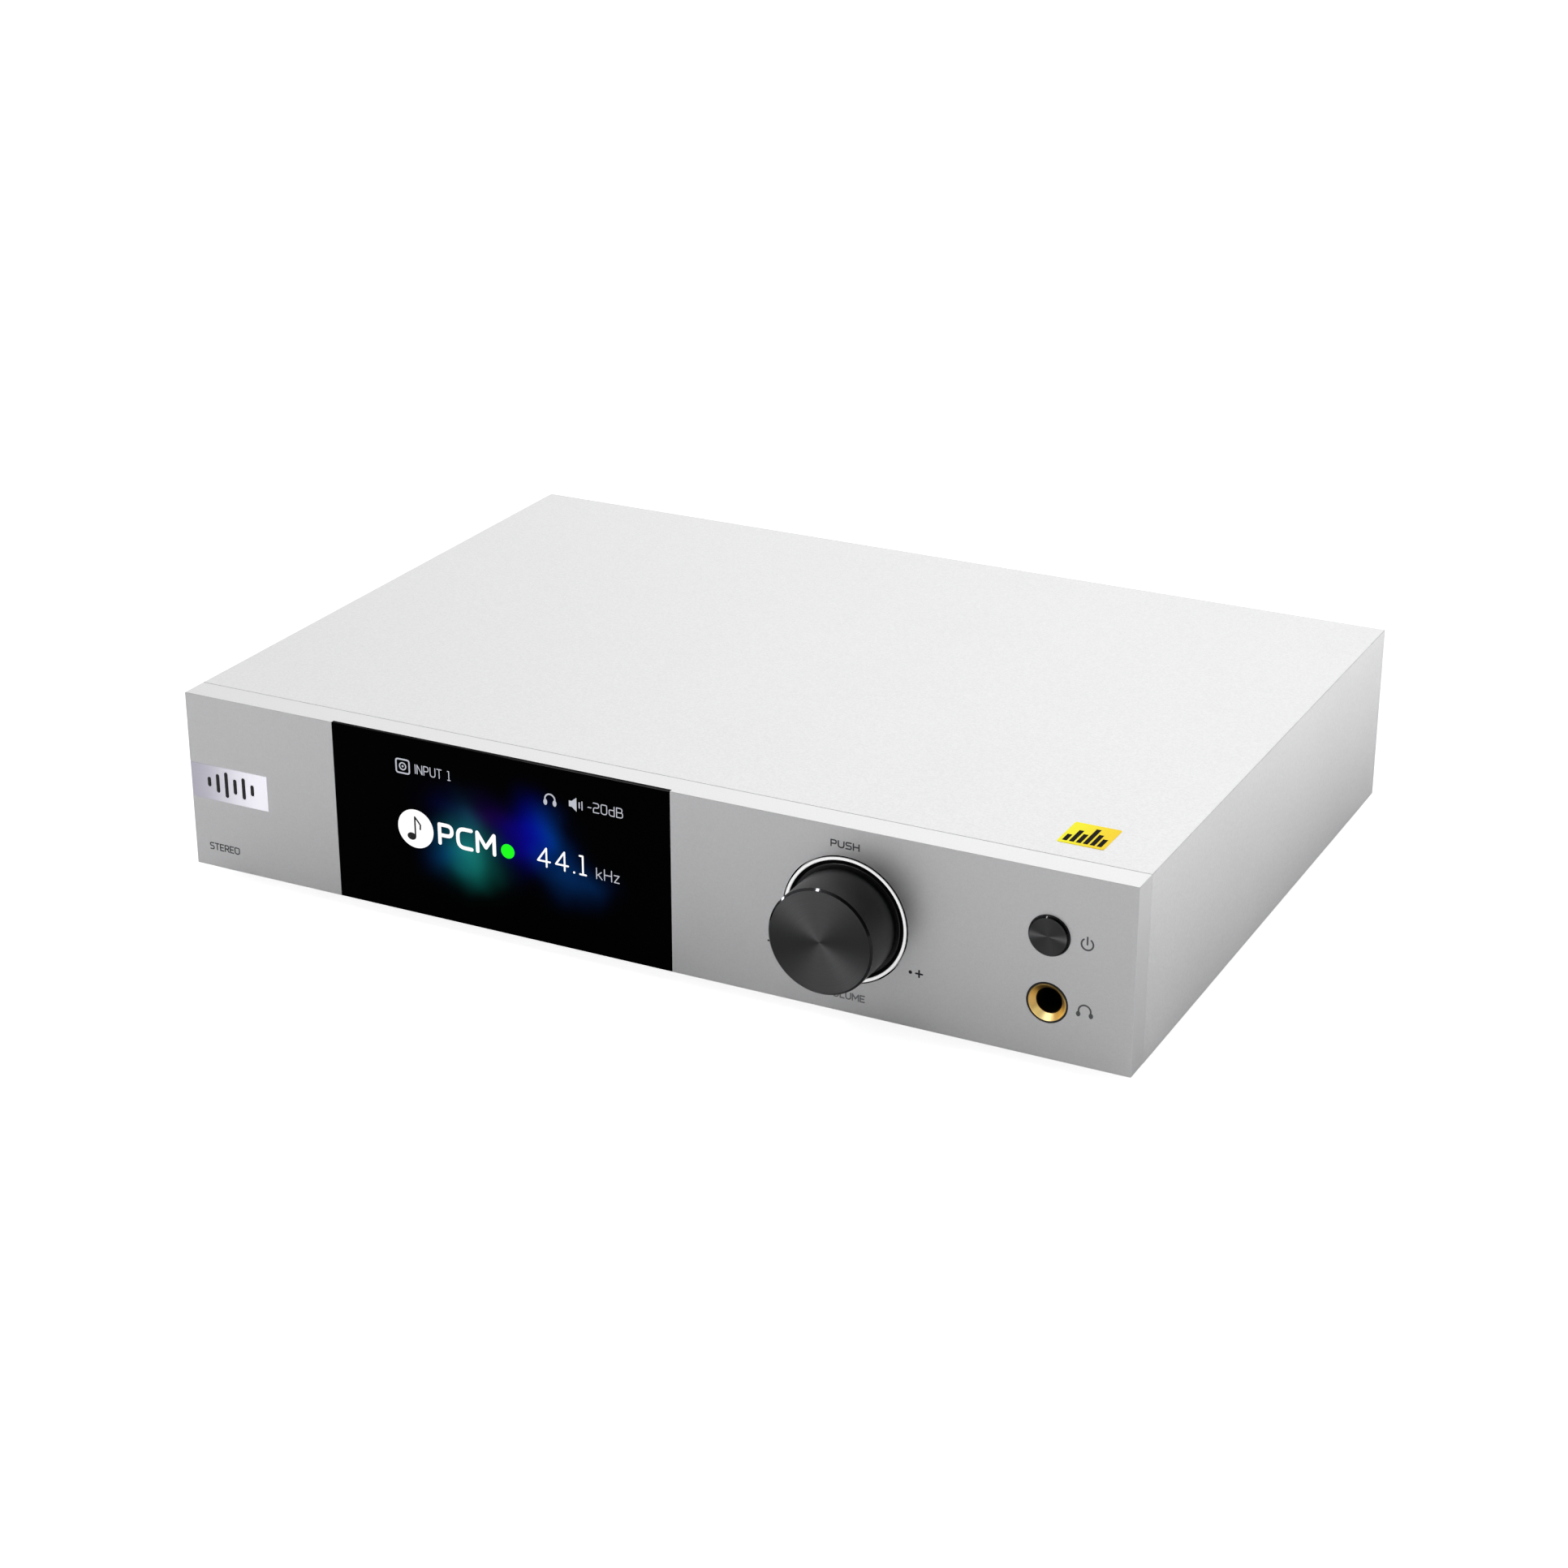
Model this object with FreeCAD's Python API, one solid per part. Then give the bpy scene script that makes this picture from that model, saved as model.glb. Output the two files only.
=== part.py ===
# Desktop digital-to-analogue converter with volume knob, display and rear sockets.
# Export frame: origin on the resting plane, centred on the overall outline;
# +X to the right of the front, +Y to the rear, +Z up.
# Modelled in a case frame (y = 0 on the front face, z = 0 under the case), shifted on export.
import FreeCAD, Part
import math
import os

Vector = FreeCAD.Vector
X_AXIS, Y_AXIS, Z_AXIS = Vector(1, 0, 0), Vector(0, 1, 0), Vector(0, 0, 1)

# --- Driving dimensions (mm)
CASE_W = 270.0
CASE_H = 49.6                   # without feet
CASE_D = 189.6                  # front face to the rear edge of the cover
GAP = 0.04                      # clearance round seated parts
FOOT_H = 3.5
FACE_T = 8.0                    # front panel
COVER_T = 2.0
BASE_T = 1.2
REAR_T = 1.6
REAR_IN = 0.4                   # rear panel set in from the cover's rear edge
REAR_Y1 = CASE_D - REAR_IN      # outer face of the rear panel
REAR_Y0 = REAR_Y1 - REAR_T      # inner face of the rear panel
REAR_END = 199.0                # rearmost point of the sockets
INNER_X = CASE_W / 2 - COVER_T  # inner face of the cover's side wall

M3, M25 = 1.5, 1.25             # screw shank radii
M3_HOLE, M25_HOLE = M3 + GAP, M25 + GAP

GLASS_X0, GLASS_X1, GLASS_T = -88.3, 11.7, 1.1
DISPLAY_X, DISPLAY_Z = -38.0, 25.5
DISPLAY_W, DISPLAY_H = 84.0, 39.0                   # opening in the front panel
KNOB_X, KNOB_Z = 59.75, 25.0
KNOB_R, KNOB_SKIRT_R, KNOB_PROJ = 13.95, 14.8, 14.0
RING_RO, RING_RI = 16.95, 15.75
RECESS_D = 2.6                                      # depth of the knob recess
WEB_Y = 4.6                                         # rear of the web behind the knob
BUTTON_X, BUTTON_Z, BUTTON_R, BUTTON_PROJ = 113.1, 32.6, 5.2, 0.9
COLLAR_R = 6.0                                      # button's rear collar
JACK_X, JACK_Z, JACK_BORE_R, JACK_RO = BUTTON_X, 14.9, 3.25, 5.35
BEZEL_R = 4.85
BADGE_X1, BADGE_Z0, BADGE_Z1, BADGE_T = -110.3, 19.8, 29.8, 0.45
LABEL_X, LABEL_Y = (107.8, 119.8), (15.6, 28.0)

BOARD_BOTTOM, BOARD_T = 9.2, 1.6                    # main and power supply boards
BOARD_TOP = BOARD_BOTTOM + BOARD_T
FRONT_BOARD_Y0, FRONT_BOARD_T = 11.6, 1.6
FRONT_BOARD_Y1 = FRONT_BOARD_Y0 + FRONT_BOARD_T

INLET_X, INLET_Z = -111.5, 24.0
ROCKER_X, ROCKER_Y, ROCKER_Z, ROCKER_TILT = -85.0, 187.2, 24.0, 8.0
XLR_X, XLR_Z = (-58.5, -29.5), 24.0
XLR_SHELL_R, XLR_BORE_R, XLR_PIN_R = 11.8, 9.6, 1.2
XLR_PINS = [(-4.3, 2.4), (4.3, 2.4), (0.0, -4.4)]   # (x, z) from the socket's axis
RCA_X, RCA_Z = (-6.0, 12.0, 34.0, 52.0), 20.0
RCA_R, RCA_PIN_R, RCA_BORE_R, RCA_NECK_R = 4.15, 1.6, 3.3, 4.9
OPTICAL_X, OPTICAL_Z = (70.0, 85.0), 16.0
USB_X, USB_Z = 103.0, 16.4
ANTENNA_X, ANTENNA_Z, ANTENNA_R, ANTENNA_NECK_R = 121.5, 20.0, 3.175, 3.0

# --- Shared places
FRONT_SCREW_X, FRONT_SCREW_Z = (-118.0, -88.0, 14.0, 88.0), 4.3
SPACERS = [(x, z) for x in (-86.0, 20.0, 95.0) for z in (40.0, 12.0)]
RAIL = 8.0
RAIL_X = INNER_X - RAIL / 2
RAIL_Z = (BASE_T, CASE_H - COVER_T - RAIL)          # undersides of the rails
BASE_SCREWS = [(side * RAIL_X, y) for side in (-1, 1) for y in (30.0, 98.0, 165.0)]
REAR_SCREWS = [(side * RAIL_X, z + RAIL / 2) for side in (-1, 1) for z in RAIL_Z]
FEET = [(side * 108.0, y) for side in (-1, 1) for y in (27.0, 163.0)]
MAIN_MOUNTS = [(-46.0, 79.0), (119.0, 79.0), (-46.0, 156.0), (119.0, 166.0), (40.0, 79.0)]
PSU_MOUNTS = [(x, y) for y in (58.0, 150.0) for x in (-118.0, -66.0)]
MAINS_HEADER_H, OUTPUT_HEADER_H = 9.0, 8.0
THROUGH_REAR = (REAR_Y0 - 1, REAR_Y1 + 1)
THROUGH_BOARD = (BOARD_BOTTOM - 1, BOARD_TOP + 1)


def xlr_screws(x):
    """(x, z) of the two screws at opposite corners of a balanced socket."""
    return [(x + side * 9.5, XLR_Z + side * 12.0) for side in (-1, 1)]


# --- Shape helpers
def box(x0, x1, y0, y1, z0, z1):
    return Part.makeBox(x1 - x0, y1 - y0, z1 - z0, Vector(x0, y0, z0))


def cyl_x(y, z, r, x0, x1):
    return Part.makeCylinder(r, x1 - x0, Vector(x0, y, z), X_AXIS)


def cyl_y(x, z, r, y0, y1):
    return Part.makeCylinder(r, y1 - y0, Vector(x, y0, z), Y_AXIS)


def cyl_z(x, y, r, z0, z1):
    return Part.makeCylinder(r, z1 - z0, Vector(x, y, z0), Z_AXIS)


def face(points):
    return Part.Face(Part.makePolygon(points + [points[0]]))


def revolve_y(x, z, profile):
    """Revolves (r, y) points about the line through (x, z) parallel to Y."""
    return face([Vector(x + r, y, z) for r, y in profile]).revolve(Vector(x, 0, z), Y_AXIS, 360)


def revolve_z(x, y, profile):
    """Revolves (r, z) points about the line through (x, y) parallel to Z."""
    return face([Vector(x + r, y, z) for r, z in profile]).revolve(Vector(x, y, 0), Z_AXIS, 360)


def prism_x(outline, x0, x1):
    """Extrudes (y, z) points along X."""
    return face([Vector(x0, y, z) for y, z in outline]).extrude(Vector(x1 - x0, 0, 0))


def prism_y(outline, y0, y1):
    """Extrudes (x, z) points along Y."""
    return face([Vector(x, y0, z) for x, z in outline]).extrude(Vector(0, y1 - y0, 0))


def prism_z(outline, z0, z1):
    """Extrudes (x, y) points along Z."""
    return face([Vector(x, y, z0) for x, y in outline]).extrude(Vector(0, 0, z1 - z0))


def hexagon(across, down, flats, turn=0.0):
    """Corners of a hexagon centred on (across, down), measured across its flats."""
    r = flats / math.sqrt(3)
    angles = [math.radians(60 * k + turn) for k in range(6)]
    return [(across + r * math.cos(a), down + r * math.sin(a)) for a in angles]


def edges_along(shape, axis, keep=lambda start: True):
    """Straight edges parallel to axis whose first vertex passes keep."""
    found = []
    for edge in shape.Edges:
        if len(edge.Vertexes) < 2:
            continue
        start = edge.Vertexes[0].Point
        run = edge.Vertexes[-1].Point - start
        if run.Length < 1e-6 or edge.Curve.TypeId != "Part::GeomLine":
            continue
        if abs(abs(run.normalize().dot(axis)) - 1) < 1e-6 and keep(start):
            found.append(edge)
    return found


def edges_along_two(shape, axis, other, keep):
    return edges_along(shape, axis, keep) + edges_along(shape, other, keep)


def round_y(shape, radius):
    """Rounds every edge parallel to Y."""
    return shape.makeFillet(radius, edges_along(shape, Y_AXIS))


def rounded_box_y(x, z, width, height, y0, y1, radius):
    """Box centred on (x, z) with its Y edges rounded."""
    return round_y(box(x - width / 2, x + width / 2, y0, y1, z - height / 2, z + height / 2),
                   radius)


def rounded_box_z(x0, x1, y0, y1, z0, z1, radius):
    block = box(x0, x1, y0, y1, z0, z1)
    return block.makeFillet(radius, edges_along(block, Z_AXIS))


def cut(shape, *tools):
    for tool in tools:
        shape = shape.cut(tool)
    return shape


def fuse(shape, *others):
    for other in others:
        shape = shape.fuse(other)
    return shape.removeSplitter()


def wire(poles, radius):
    """Round wire along a Bezier curve through the first and last of its poles."""
    points = [Vector(*pole) for pole in poles]
    curve = Part.BezierCurve()
    curve.setPoles(points)
    section = Part.Wire(Part.Edge(Part.Circle(points[0], points[1] - points[0], radius)))
    return Part.Wire(Part.Edge(curve)).makePipeShell([section], True, True)


def screw(top, direction, head_r, head_h, shank_r, length, sunk=False):
    """Cross-recessed screw: top is the centre of the head's top, direction runs down the shank."""
    top, direction = Vector(*top), Vector(*direction)
    if sunk:
        head = Part.makeCone(head_r, shank_r, head_h, top, direction)
    else:
        head = Part.makeCylinder(head_r, head_h, top, direction)
        rim = [e for e in head.Edges if abs(e.CenterOfMass.sub(top).Length) < 1e-3]
        head = head.makeFillet(min(0.35, head_h * 0.3), rim)
    body = head.fuse(Part.makeCylinder(shank_r, length, top, direction))
    side = Z_AXIS.cross(direction) if abs(direction.z) < 0.5 else Vector(1, 0, 0)
    other = direction.cross(side)
    slot_l, slot_w, slot_d = head_r * 1.1, 0.55, head_h * 0.55
    for along, across in ((side, other), (other, side * -1)):
        slot = Part.makeBox(slot_l, slot_w, slot_d * 2, Vector(-slot_l / 2, -slot_w / 2, -slot_d))
        slot.Placement = FreeCAD.Placement(
            top, FreeCAD.Rotation(along, across, direction, "ZXY"))
        body = body.cut(slot)
    return body.removeSplitter()


# --- Front panel
def front_panel():
    blank = box(-CASE_W / 2, CASE_W / 2, 0, FACE_T, 0, CASE_H)
    # every edge except those of the rear face
    outer = [edge for edge in blank.Edges if edge.CenterOfMass.y < FACE_T - 0.01]
    behind = FACE_T + 1
    return cut(
        blank.makeChamfer(0.1, outer),
        box(GLASS_X0, GLASS_X1, -1, GLASS_T, -1, CASE_H + 1),
        rounded_box_y(DISPLAY_X, DISPLAY_Z, DISPLAY_W, DISPLAY_H, GLASS_T - 0.5, behind, 1.5),
        knob_cyl(RING_RO, -1, RECESS_D),
        knob_cyl(3.6, 0, FACE_T),                                      # encoder bushing
        rounded_box_y(KNOB_X, KNOB_Z, 30.0, 30.0, WEB_Y, behind, 3.0),  # pocket behind knob
        cyl_y(BUTTON_X, BUTTON_Z, BUTTON_R + 0.15, -1, behind),
        cyl_y(BUTTON_X, BUTTON_Z, COLLAR_R + 0.3, 3.9, behind),
        cyl_y(JACK_X, JACK_Z, JACK_RO + GAP, -1, behind),
        # badge seat on the front and round the left side
        box(-CASE_W / 2 - 1, BADGE_X1, -1, BADGE_T, BADGE_Z0, BADGE_Z1),
        box(-CASE_W / 2 - 1, -CASE_W / 2 + BADGE_T, -1, behind, BADGE_Z0, BADGE_Z1),
        *[cyl_y(x, FRONT_SCREW_Z, M3_HOLE, 4.0, behind) for x in FRONT_SCREW_X],
        *[cyl_y(x, z, M25_HOLE, 4.5, behind) for x, z in SPACERS])


def display_glass():
    glass = box(GLASS_X0 + 0.05, GLASS_X1 - 0.05, 0, GLASS_T, 0, CASE_H)
    return glass.makeChamfer(0.12, edges_along_two(glass, Z_AXIS, X_AXIS, lambda p: p.y < 0.01))


def badge_plate():
    """Thin plate wrapped round the panel's left edge."""
    left, z0, z1 = -CASE_W / 2, BADGE_Z0 + 0.05, BADGE_Z1 - 0.05
    badge = fuse(box(left, BADGE_X1 - 0.05, -0.05, BADGE_T, z0, z1),
                 box(left, left + BADGE_T, -0.05, FACE_T - 0.3, z0, z1))
    corner = edges_along(badge, Z_AXIS, lambda p: p.x < left + 0.01 and p.y < 0)
    return badge.makeFillet(0.3, corner)


# --- Volume knob and encoder
HUB_R, HUB_Y = 5.5, -13.0           # bore in the knob for the insert, and its front end
CAVITY_Y = -9.0                     # front of the wide hollow in the knob
SHAFT_R, BUSHING_R, FLANGE_R = 3.0, 3.5, 5.5
BUSHING_Y1 = 5.5                    # rear of the bushing's flange


def knob_cyl(r, y0, y1):
    return cyl_y(KNOB_X, KNOB_Z, r, y0, y1)


def dee(r, flat, y0, y1):
    """D section about the knob's axis, with its flat that far above the axis."""
    above = box(KNOB_X - 10, KNOB_X + 10, y0 - 1, y1 + 1, KNOB_Z + flat, KNOB_Z + 10)
    return knob_cyl(r, y0, y1).cut(above)


def knob_light_ring():
    seated = RING_RO - GAP
    front = RING_RO - 0.35          # leaves a narrow groove inside the recess
    return revolve_y(KNOB_X, KNOB_Z, [
        (RING_RI, RECESS_D), (RING_RI, 0.0), (RING_RI + 0.08, -0.13), (RING_RI + 0.2, -0.2),
        (front - 0.16, -0.2), (front - 0.05, -0.15), (front, -0.05), (front, 1.1),
        (seated, 1.25), (seated, RECESS_D)])


def knob_dish():
    """Floor of the recess, swept up to the ring along a quarter ellipse."""
    rim, floor, sweep_w, sweep_d = RING_RI - GAP, 1.7, 1.5, 1.3
    angles = [math.radians(a) for a in range(0, 91, 15)]
    sweep = [(rim - sweep_w + sweep_w * math.sin(a), floor - sweep_d + sweep_d * math.cos(a))
             for a in angles]
    return revolve_y(KNOB_X, KNOB_Z,
                     [(3.6, RECESS_D), (3.6, floor)] + sweep + [(rim, RECESS_D)])


def volume_knob():
    neck = KNOB_R - 0.5
    return revolve_y(KNOB_X, KNOB_Z, [
        # front face and grip
        (0, -KNOB_PROJ), (KNOB_R - 0.6, -KNOB_PROJ), (neck, -KNOB_PROJ + 0.03),
        (KNOB_R, -KNOB_PROJ + 0.55), (KNOB_R, -1.7), (KNOB_R - 0.15, -1.55), (neck, -1.55),
        # skirt
        (neck, -0.15), (KNOB_SKIRT_R - 0.15, -0.15), (KNOB_SKIRT_R, 0.0), (KNOB_SKIRT_R, 0.65),
        (KNOB_SKIRT_R - 0.15, 0.8),
        # hollow inside
        (11.6, 0.8), (11.6, CAVITY_Y), (HUB_R, CAVITY_Y), (HUB_R, HUB_Y), (0, HUB_Y)])


def knob_insert():
    rear = -3.2
    insert = fuse(knob_cyl(HUB_R - GAP, HUB_Y, rear),
                  box(KNOB_X - 0.7, KNOB_X + 0.7, CAVITY_Y, rear, KNOB_Z - 7.0, KNOB_Z + 7.0))
    return insert.cut(dee(SHAFT_R + GAP, 1.5 + GAP, -12.3, -3.0))


def encoder_shaft():
    return fuse(dee(SHAFT_R, 1.5, -12.2, -3.2), knob_cyl(SHAFT_R, -3.2, 5.4),
                dee(2.2, 1.4, 5.4, 9.2))


def encoder_bushing():
    return cut(fuse(knob_cyl(BUSHING_R, -2.0, BUSHING_Y1),
                    knob_cyl(FLANGE_R - GAP, WEB_Y, BUSHING_Y1)),
               knob_cyl(SHAFT_R + GAP, -3, 7))


def encoder_nut():
    return cut(prism_y(hexagon(KNOB_X, KNOB_Z, 10.0), -0.3, 1.7),
               knob_cyl(BUSHING_R + GAP, -1, 3))


def encoder_housing():
    return cut(rounded_box_y(KNOB_X, KNOB_Z, 12.6, 12.6, WEB_Y, FRONT_BOARD_Y0, 0.6),
               knob_cyl(FLANGE_R, WEB_Y - 1, BUSHING_Y1), knob_cyl(5.2, 5.0, 10.9))


def encoder_rotor():
    return knob_cyl(4.8, 6.0, 8.0).cut(dee(2.25, 1.45, 5, 9))


def encoder_plunger():
    return fuse(knob_cyl(2.0, 9.2, 10.0), knob_cyl(3.0, 9.7, 10.3))


# --- Power button and its switch
STEM_Y = 7.2                        # where the button's stem meets the switch plunger


def power_button():
    return revolve_y(BUTTON_X, BUTTON_Z, [
        (0, -BUTTON_PROJ), (BUTTON_R - 0.4, -BUTTON_PROJ), (BUTTON_R, -BUTTON_PROJ + 0.4),
        (BUTTON_R, 4.0), (COLLAR_R, 4.0), (COLLAR_R, 5.0), (2.2, 5.0), (2.2, STEM_Y),
        (0, STEM_Y)])


def power_switch_body():
    return cut(rounded_box_y(BUTTON_X, BUTTON_Z, 6.0, 6.0, 8.1, FRONT_BOARD_Y0, 0.5),
               cyl_y(BUTTON_X, BUTTON_Z, 1.75, 8.0, 9.3))


def power_switch_plunger():
    return cyl_y(BUTTON_X, BUTTON_Z, 1.7, STEM_Y, 8.8)


# --- Headphone socket
CONTACT_DX = (-5.6, 0.0, 5.6)


def headphone_bezel():
    return revolve_y(JACK_X, JACK_Z, [
        (JACK_BORE_R, FACE_T), (BEZEL_R, FACE_T), (BEZEL_R, 0.0), (BEZEL_R - 0.1, -0.1),
        (4.6, -0.1), (JACK_BORE_R, 1.5)])


def headphone_jack_body():
    body = fuse(cyl_y(JACK_X, JACK_Z, JACK_RO, 0.15, FACE_T),
                rounded_box_y(JACK_X, JACK_Z, 17.0, 15.6, FACE_T, 34.0, 1.0))
    return cut(
        body,
        cyl_y(JACK_X, JACK_Z, BEZEL_R + GAP, -1, FACE_T),
        cyl_y(JACK_X, JACK_Z, JACK_BORE_R, FACE_T - 1, 31.0),
        cyl_y(JACK_X, JACK_Z, 4.0, 29.0, 31.6),
        *[box(JACK_X + dx - 1.5, JACK_X + dx + 1.5, 14.0, 35.0, JACK_Z + 5.6, JACK_Z + 6.4)
          for dx in CONTACT_DX])


def headphone_contacts():
    """Flat strips, each turned down at the rear."""
    strips = []
    for dx in CONTACT_DX:
        x0, x1, top = JACK_X + dx - 1.4, JACK_X + dx + 1.4, JACK_Z + 6.3
        strips.append(fuse(box(x0, x1, 15.0, 38.5, top - 0.6, top),
                           box(x0, x1, 37.9, 38.5, JACK_Z + 3.6, top)))
    return strips


# --- Display and front board
def lcd_panel():
    screen = rounded_box_y(DISPLAY_X, DISPLAY_Z, DISPLAY_W - 0.6, DISPLAY_H - 0.6,
                           GLASS_T + 0.05, 3.9, 1.0)
    return fuse(screen, box(DISPLAY_X - 10.0, DISPLAY_X + 10.0, 3.9, 4.6, 10.0, 24.0))


def front_board():
    front, rear = FRONT_BOARD_Y0, FRONT_BOARD_Y1
    board = fuse(box(-92.0, 102.0, front, rear, 7.0, 44.5),
                 box(102.0, 124.0, front, rear, 25.0, 44.5))
    board = cut(board, *[cyl_y(x, z, M25_HOLE, front - 1, rear + 1) for x, z in SPACERS])
    return fuse(board,
                box(-46.0, -30.0, rear, rear + 2.5, 18.0, 23.0),    # ribbon connector
                box(-20.0, -8.0, rear, rear + 1.2, 26.0, 38.0),
                box(64.0, 74.0, rear, rear + 3.0, 30.0, 36.0))


def front_board_spacers():
    return [cut(prism_y(hexagon(x, z, 5.0), FACE_T, FRONT_BOARD_Y0),
                cyl_y(x, z, M25_HOLE, FACE_T - 1, FRONT_BOARD_Y0 + 1)) for x, z in SPACERS]


def strip_outline(path, thickness):
    """Closed (y, z) outline of a strip along a path."""
    upper, lower = [], []
    for i, (y, z) in enumerate(path):
        before = path[max(i - 1, 0)]
        after = path[min(i + 1, len(path) - 1)]
        dy, dz = after[0] - before[0], after[1] - before[1]
        length = math.hypot(dy, dz)
        off_y, off_z = -dz / length * thickness / 2, dy / length * thickness / 2
        upper.append((y + off_y, z + off_z))
        lower.append((y - off_y, z - off_z))
    return upper + lower[::-1]


def display_ribbon():
    """Flat ribbon from the front board to the main board, along a cubic curve."""
    poles = [(FRONT_BOARD_Y1 + 2.7, 20.5), (44.0, 20.5), (73.1, 31.0), (73.1, BOARD_TOP + 2.95)]
    steps = 28
    path = []
    for k in range(steps + 1):
        t = k / steps
        weights = [(1 - t) ** 3, 3 * t * (1 - t) ** 2, 3 * t * t * (1 - t), t ** 3]
        path.append(tuple(sum(w * pole[i] for w, pole in zip(weights, poles)) for i in (0, 1)))
    return prism_x(strip_outline(path, 0.4), -45.0, -31.0)


# --- Case
def top_cover():
    cover = box(-CASE_W / 2, CASE_W / 2, FACE_T, CASE_D, 0, CASE_H)
    cover = cover.makeFillet(0.2, edges_along(cover, Y_AXIS, lambda p: p.z > CASE_H - 0.1))
    cover = cover.cut(box(-INNER_X, INNER_X, FACE_T - 1, CASE_D + 1, -1, CASE_H - COVER_T))
    # bevel along the top and side edges that meet the front panel
    size, over = 0.3, 0.01
    front, back = FACE_T - over, FACE_T + size
    bevels = [prism_x([(front, CASE_H - size), (back, CASE_H + over), (front, CASE_H + over)],
                      -CASE_W / 2 - 1, CASE_W / 2 + 1)]
    for side in (-1, 1):
        outer, inner = side * (CASE_W / 2 + over), side * (CASE_W / 2 - size)
        bevels.append(prism_z([(outer, front), (outer, back), (inner, front)], -1, CASE_H + 1))
    return cover.cut(fuse(*bevels))


def side_rails():
    rails = []
    for side in (-1, 1):
        for z0 in RAIL_Z:
            x0, x1 = sorted((side * INNER_X, side * (INNER_X - RAIL)))
            rail = box(x0, x1, FACE_T, REAR_Y0, z0, z0 + RAIL)
            rail = rail.cut(
                cyl_y(side * RAIL_X, z0 + RAIL / 2, M3_HOLE, REAR_Y0 - 10, REAR_Y0 + 1))
            if z0 == BASE_T:
                rail = cut(rail, *[cyl_z(x, y, M3_HOLE, 0, z0 + 5.2) for x, y in BASE_SCREWS])
            rails.append(rail)
    return rails


# rows of vent slots in the bottom plate: first x, first y, number of slots
VENT_ROWS = ((-112.0, 84.0, 12), (-10.0, 34.0, 14), (20.0, 112.0, 16))
VENT_PITCH, VENT_R, VENT_L = 5.0, 1.1, 24.0


def bottom_plate():
    lip_x = INNER_X - RAIL - 0.5
    base = fuse(box(-INNER_X, INNER_X, FACE_T, REAR_Y0, 0, BASE_T),
                box(-lip_x, lip_x, FACE_T, FACE_T + 1.2, 0, 6.9),
                box(-lip_x, lip_x, REAR_Y0 - 1.2, REAR_Y0, 0, 5.5))
    base = cut(base, *[cyl_y(x, FRONT_SCREW_Z, M3_HOLE, FACE_T - 1, FACE_T + 2)
                       for x in FRONT_SCREW_X])
    for x, y in BASE_SCREWS:
        sink = Part.makeCone(3.0 + 2 * GAP, M3 + 2 * GAP, BASE_T, Vector(x, y, 0), Z_AXIS)
        base = cut(base, sink, cyl_z(x, y, M3_HOLE, -1, 3))
    for x, y in FEET:
        base = base.cut(cyl_z(x, y, M3_HOLE, -1, 3))
        boss = cut(cyl_z(x, y, 3.2, BASE_T, BASE_T + 2.6), cyl_z(x, y, M3_HOLE, 0, 9))
        base = fuse(base, boss)
    vents = []
    for x0, y0, count in VENT_ROWS:
        y1 = y0 + VENT_L
        for k in range(count):
            x = x0 + k * VENT_PITCH
            vents.append(fuse(box(x - VENT_R, x + VENT_R, y0, y1, -1, 3),
                              cyl_z(x, y0, VENT_R, -1, 3), cyl_z(x, y1, VENT_R, -1, 3)))
    return base.cut(Part.makeCompound(vents))


def bottom_screws():
    return [screw((x, y, 0), (0, 0, 1), 3.0, 1.2, M3, 6.0, sunk=True) for x, y in BASE_SCREWS]


def rubber_feet():
    return [revolve_z(x, y, [
        (M3_HOLE, 0), (9.5, 0), (9.5, -1.6), (9.0, -3.1), (8.6, -FOOT_H), (5.4, -FOOT_H),
        (5.0, -3.1), (3.4, -3.1), (3.4, -1.3), (M3_HOLE, -1.3)]) for x, y in FEET]


def foot_screws():
    return [screw((x, y, -2.9), (0, 0, 1), 2.8, 1.6, M3, 6.4) for x, y in FEET]


def top_label():
    return rounded_box_z(*LABEL_X, *LABEL_Y, CASE_H, CASE_H + 0.1, 0.5)


# --- Rear panel
XLR_FLANGE_T = 2.2


def rear_panel():
    side = INNER_X - 0.05
    rear = cut(
        box(-side, side, REAR_Y0, REAR_Y1, 0.0, CASE_H - COVER_T - 0.05),
        *[cyl_y(x, z, M3_HOLE, *THROUGH_REAR) for x, z in REAR_SCREWS],
        rounded_box_y(INLET_X, INLET_Z, 27.3, 19.9, *THROUGH_REAR, 1.5),
        box(ROCKER_X - 6.65, ROCKER_X + 6.65, *THROUGH_REAR, ROCKER_Z - 9.65, ROCKER_Z + 9.65))
    for x in XLR_X:
        rear = cut(rear, cyl_y(x, XLR_Z, XLR_SHELL_R + GAP, *THROUGH_REAR),
                   *[cyl_y(sx, sz, M3_HOLE, *THROUGH_REAR) for sx, sz in xlr_screws(x)])
    return cut(
        rear,
        *[cyl_y(x, RCA_Z, RCA_NECK_R + GAP, *THROUGH_REAR) for x in RCA_X],
        *[box(x - 5.05, x + 5.05, *THROUGH_REAR, OPTICAL_Z - 5.25, OPTICAL_Z + 5.25)
          for x in OPTICAL_X],
        box(USB_X - 6.05, USB_X + 6.05, *THROUGH_REAR, USB_Z - 5.6, USB_Z + 5.6),
        cyl_y(ANTENNA_X, ANTENNA_Z, ANTENNA_NECK_R + GAP, *THROUGH_REAR))


def rear_panel_screws():
    screws = [screw((x, REAR_Y1 + 1.7, z), (0, -1, 0), 2.8, 1.7, M3, 9.0)
              for x, z in REAR_SCREWS]
    head = 1.5
    for socket_x in XLR_X:
        for x, z in xlr_screws(socket_x):
            top = (x, REAR_Y1 + XLR_FLANGE_T + head, z)
            screws.append(screw(top, (0, -1, 0), 2.6, head, M3, 7.0))
    return screws


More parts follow.
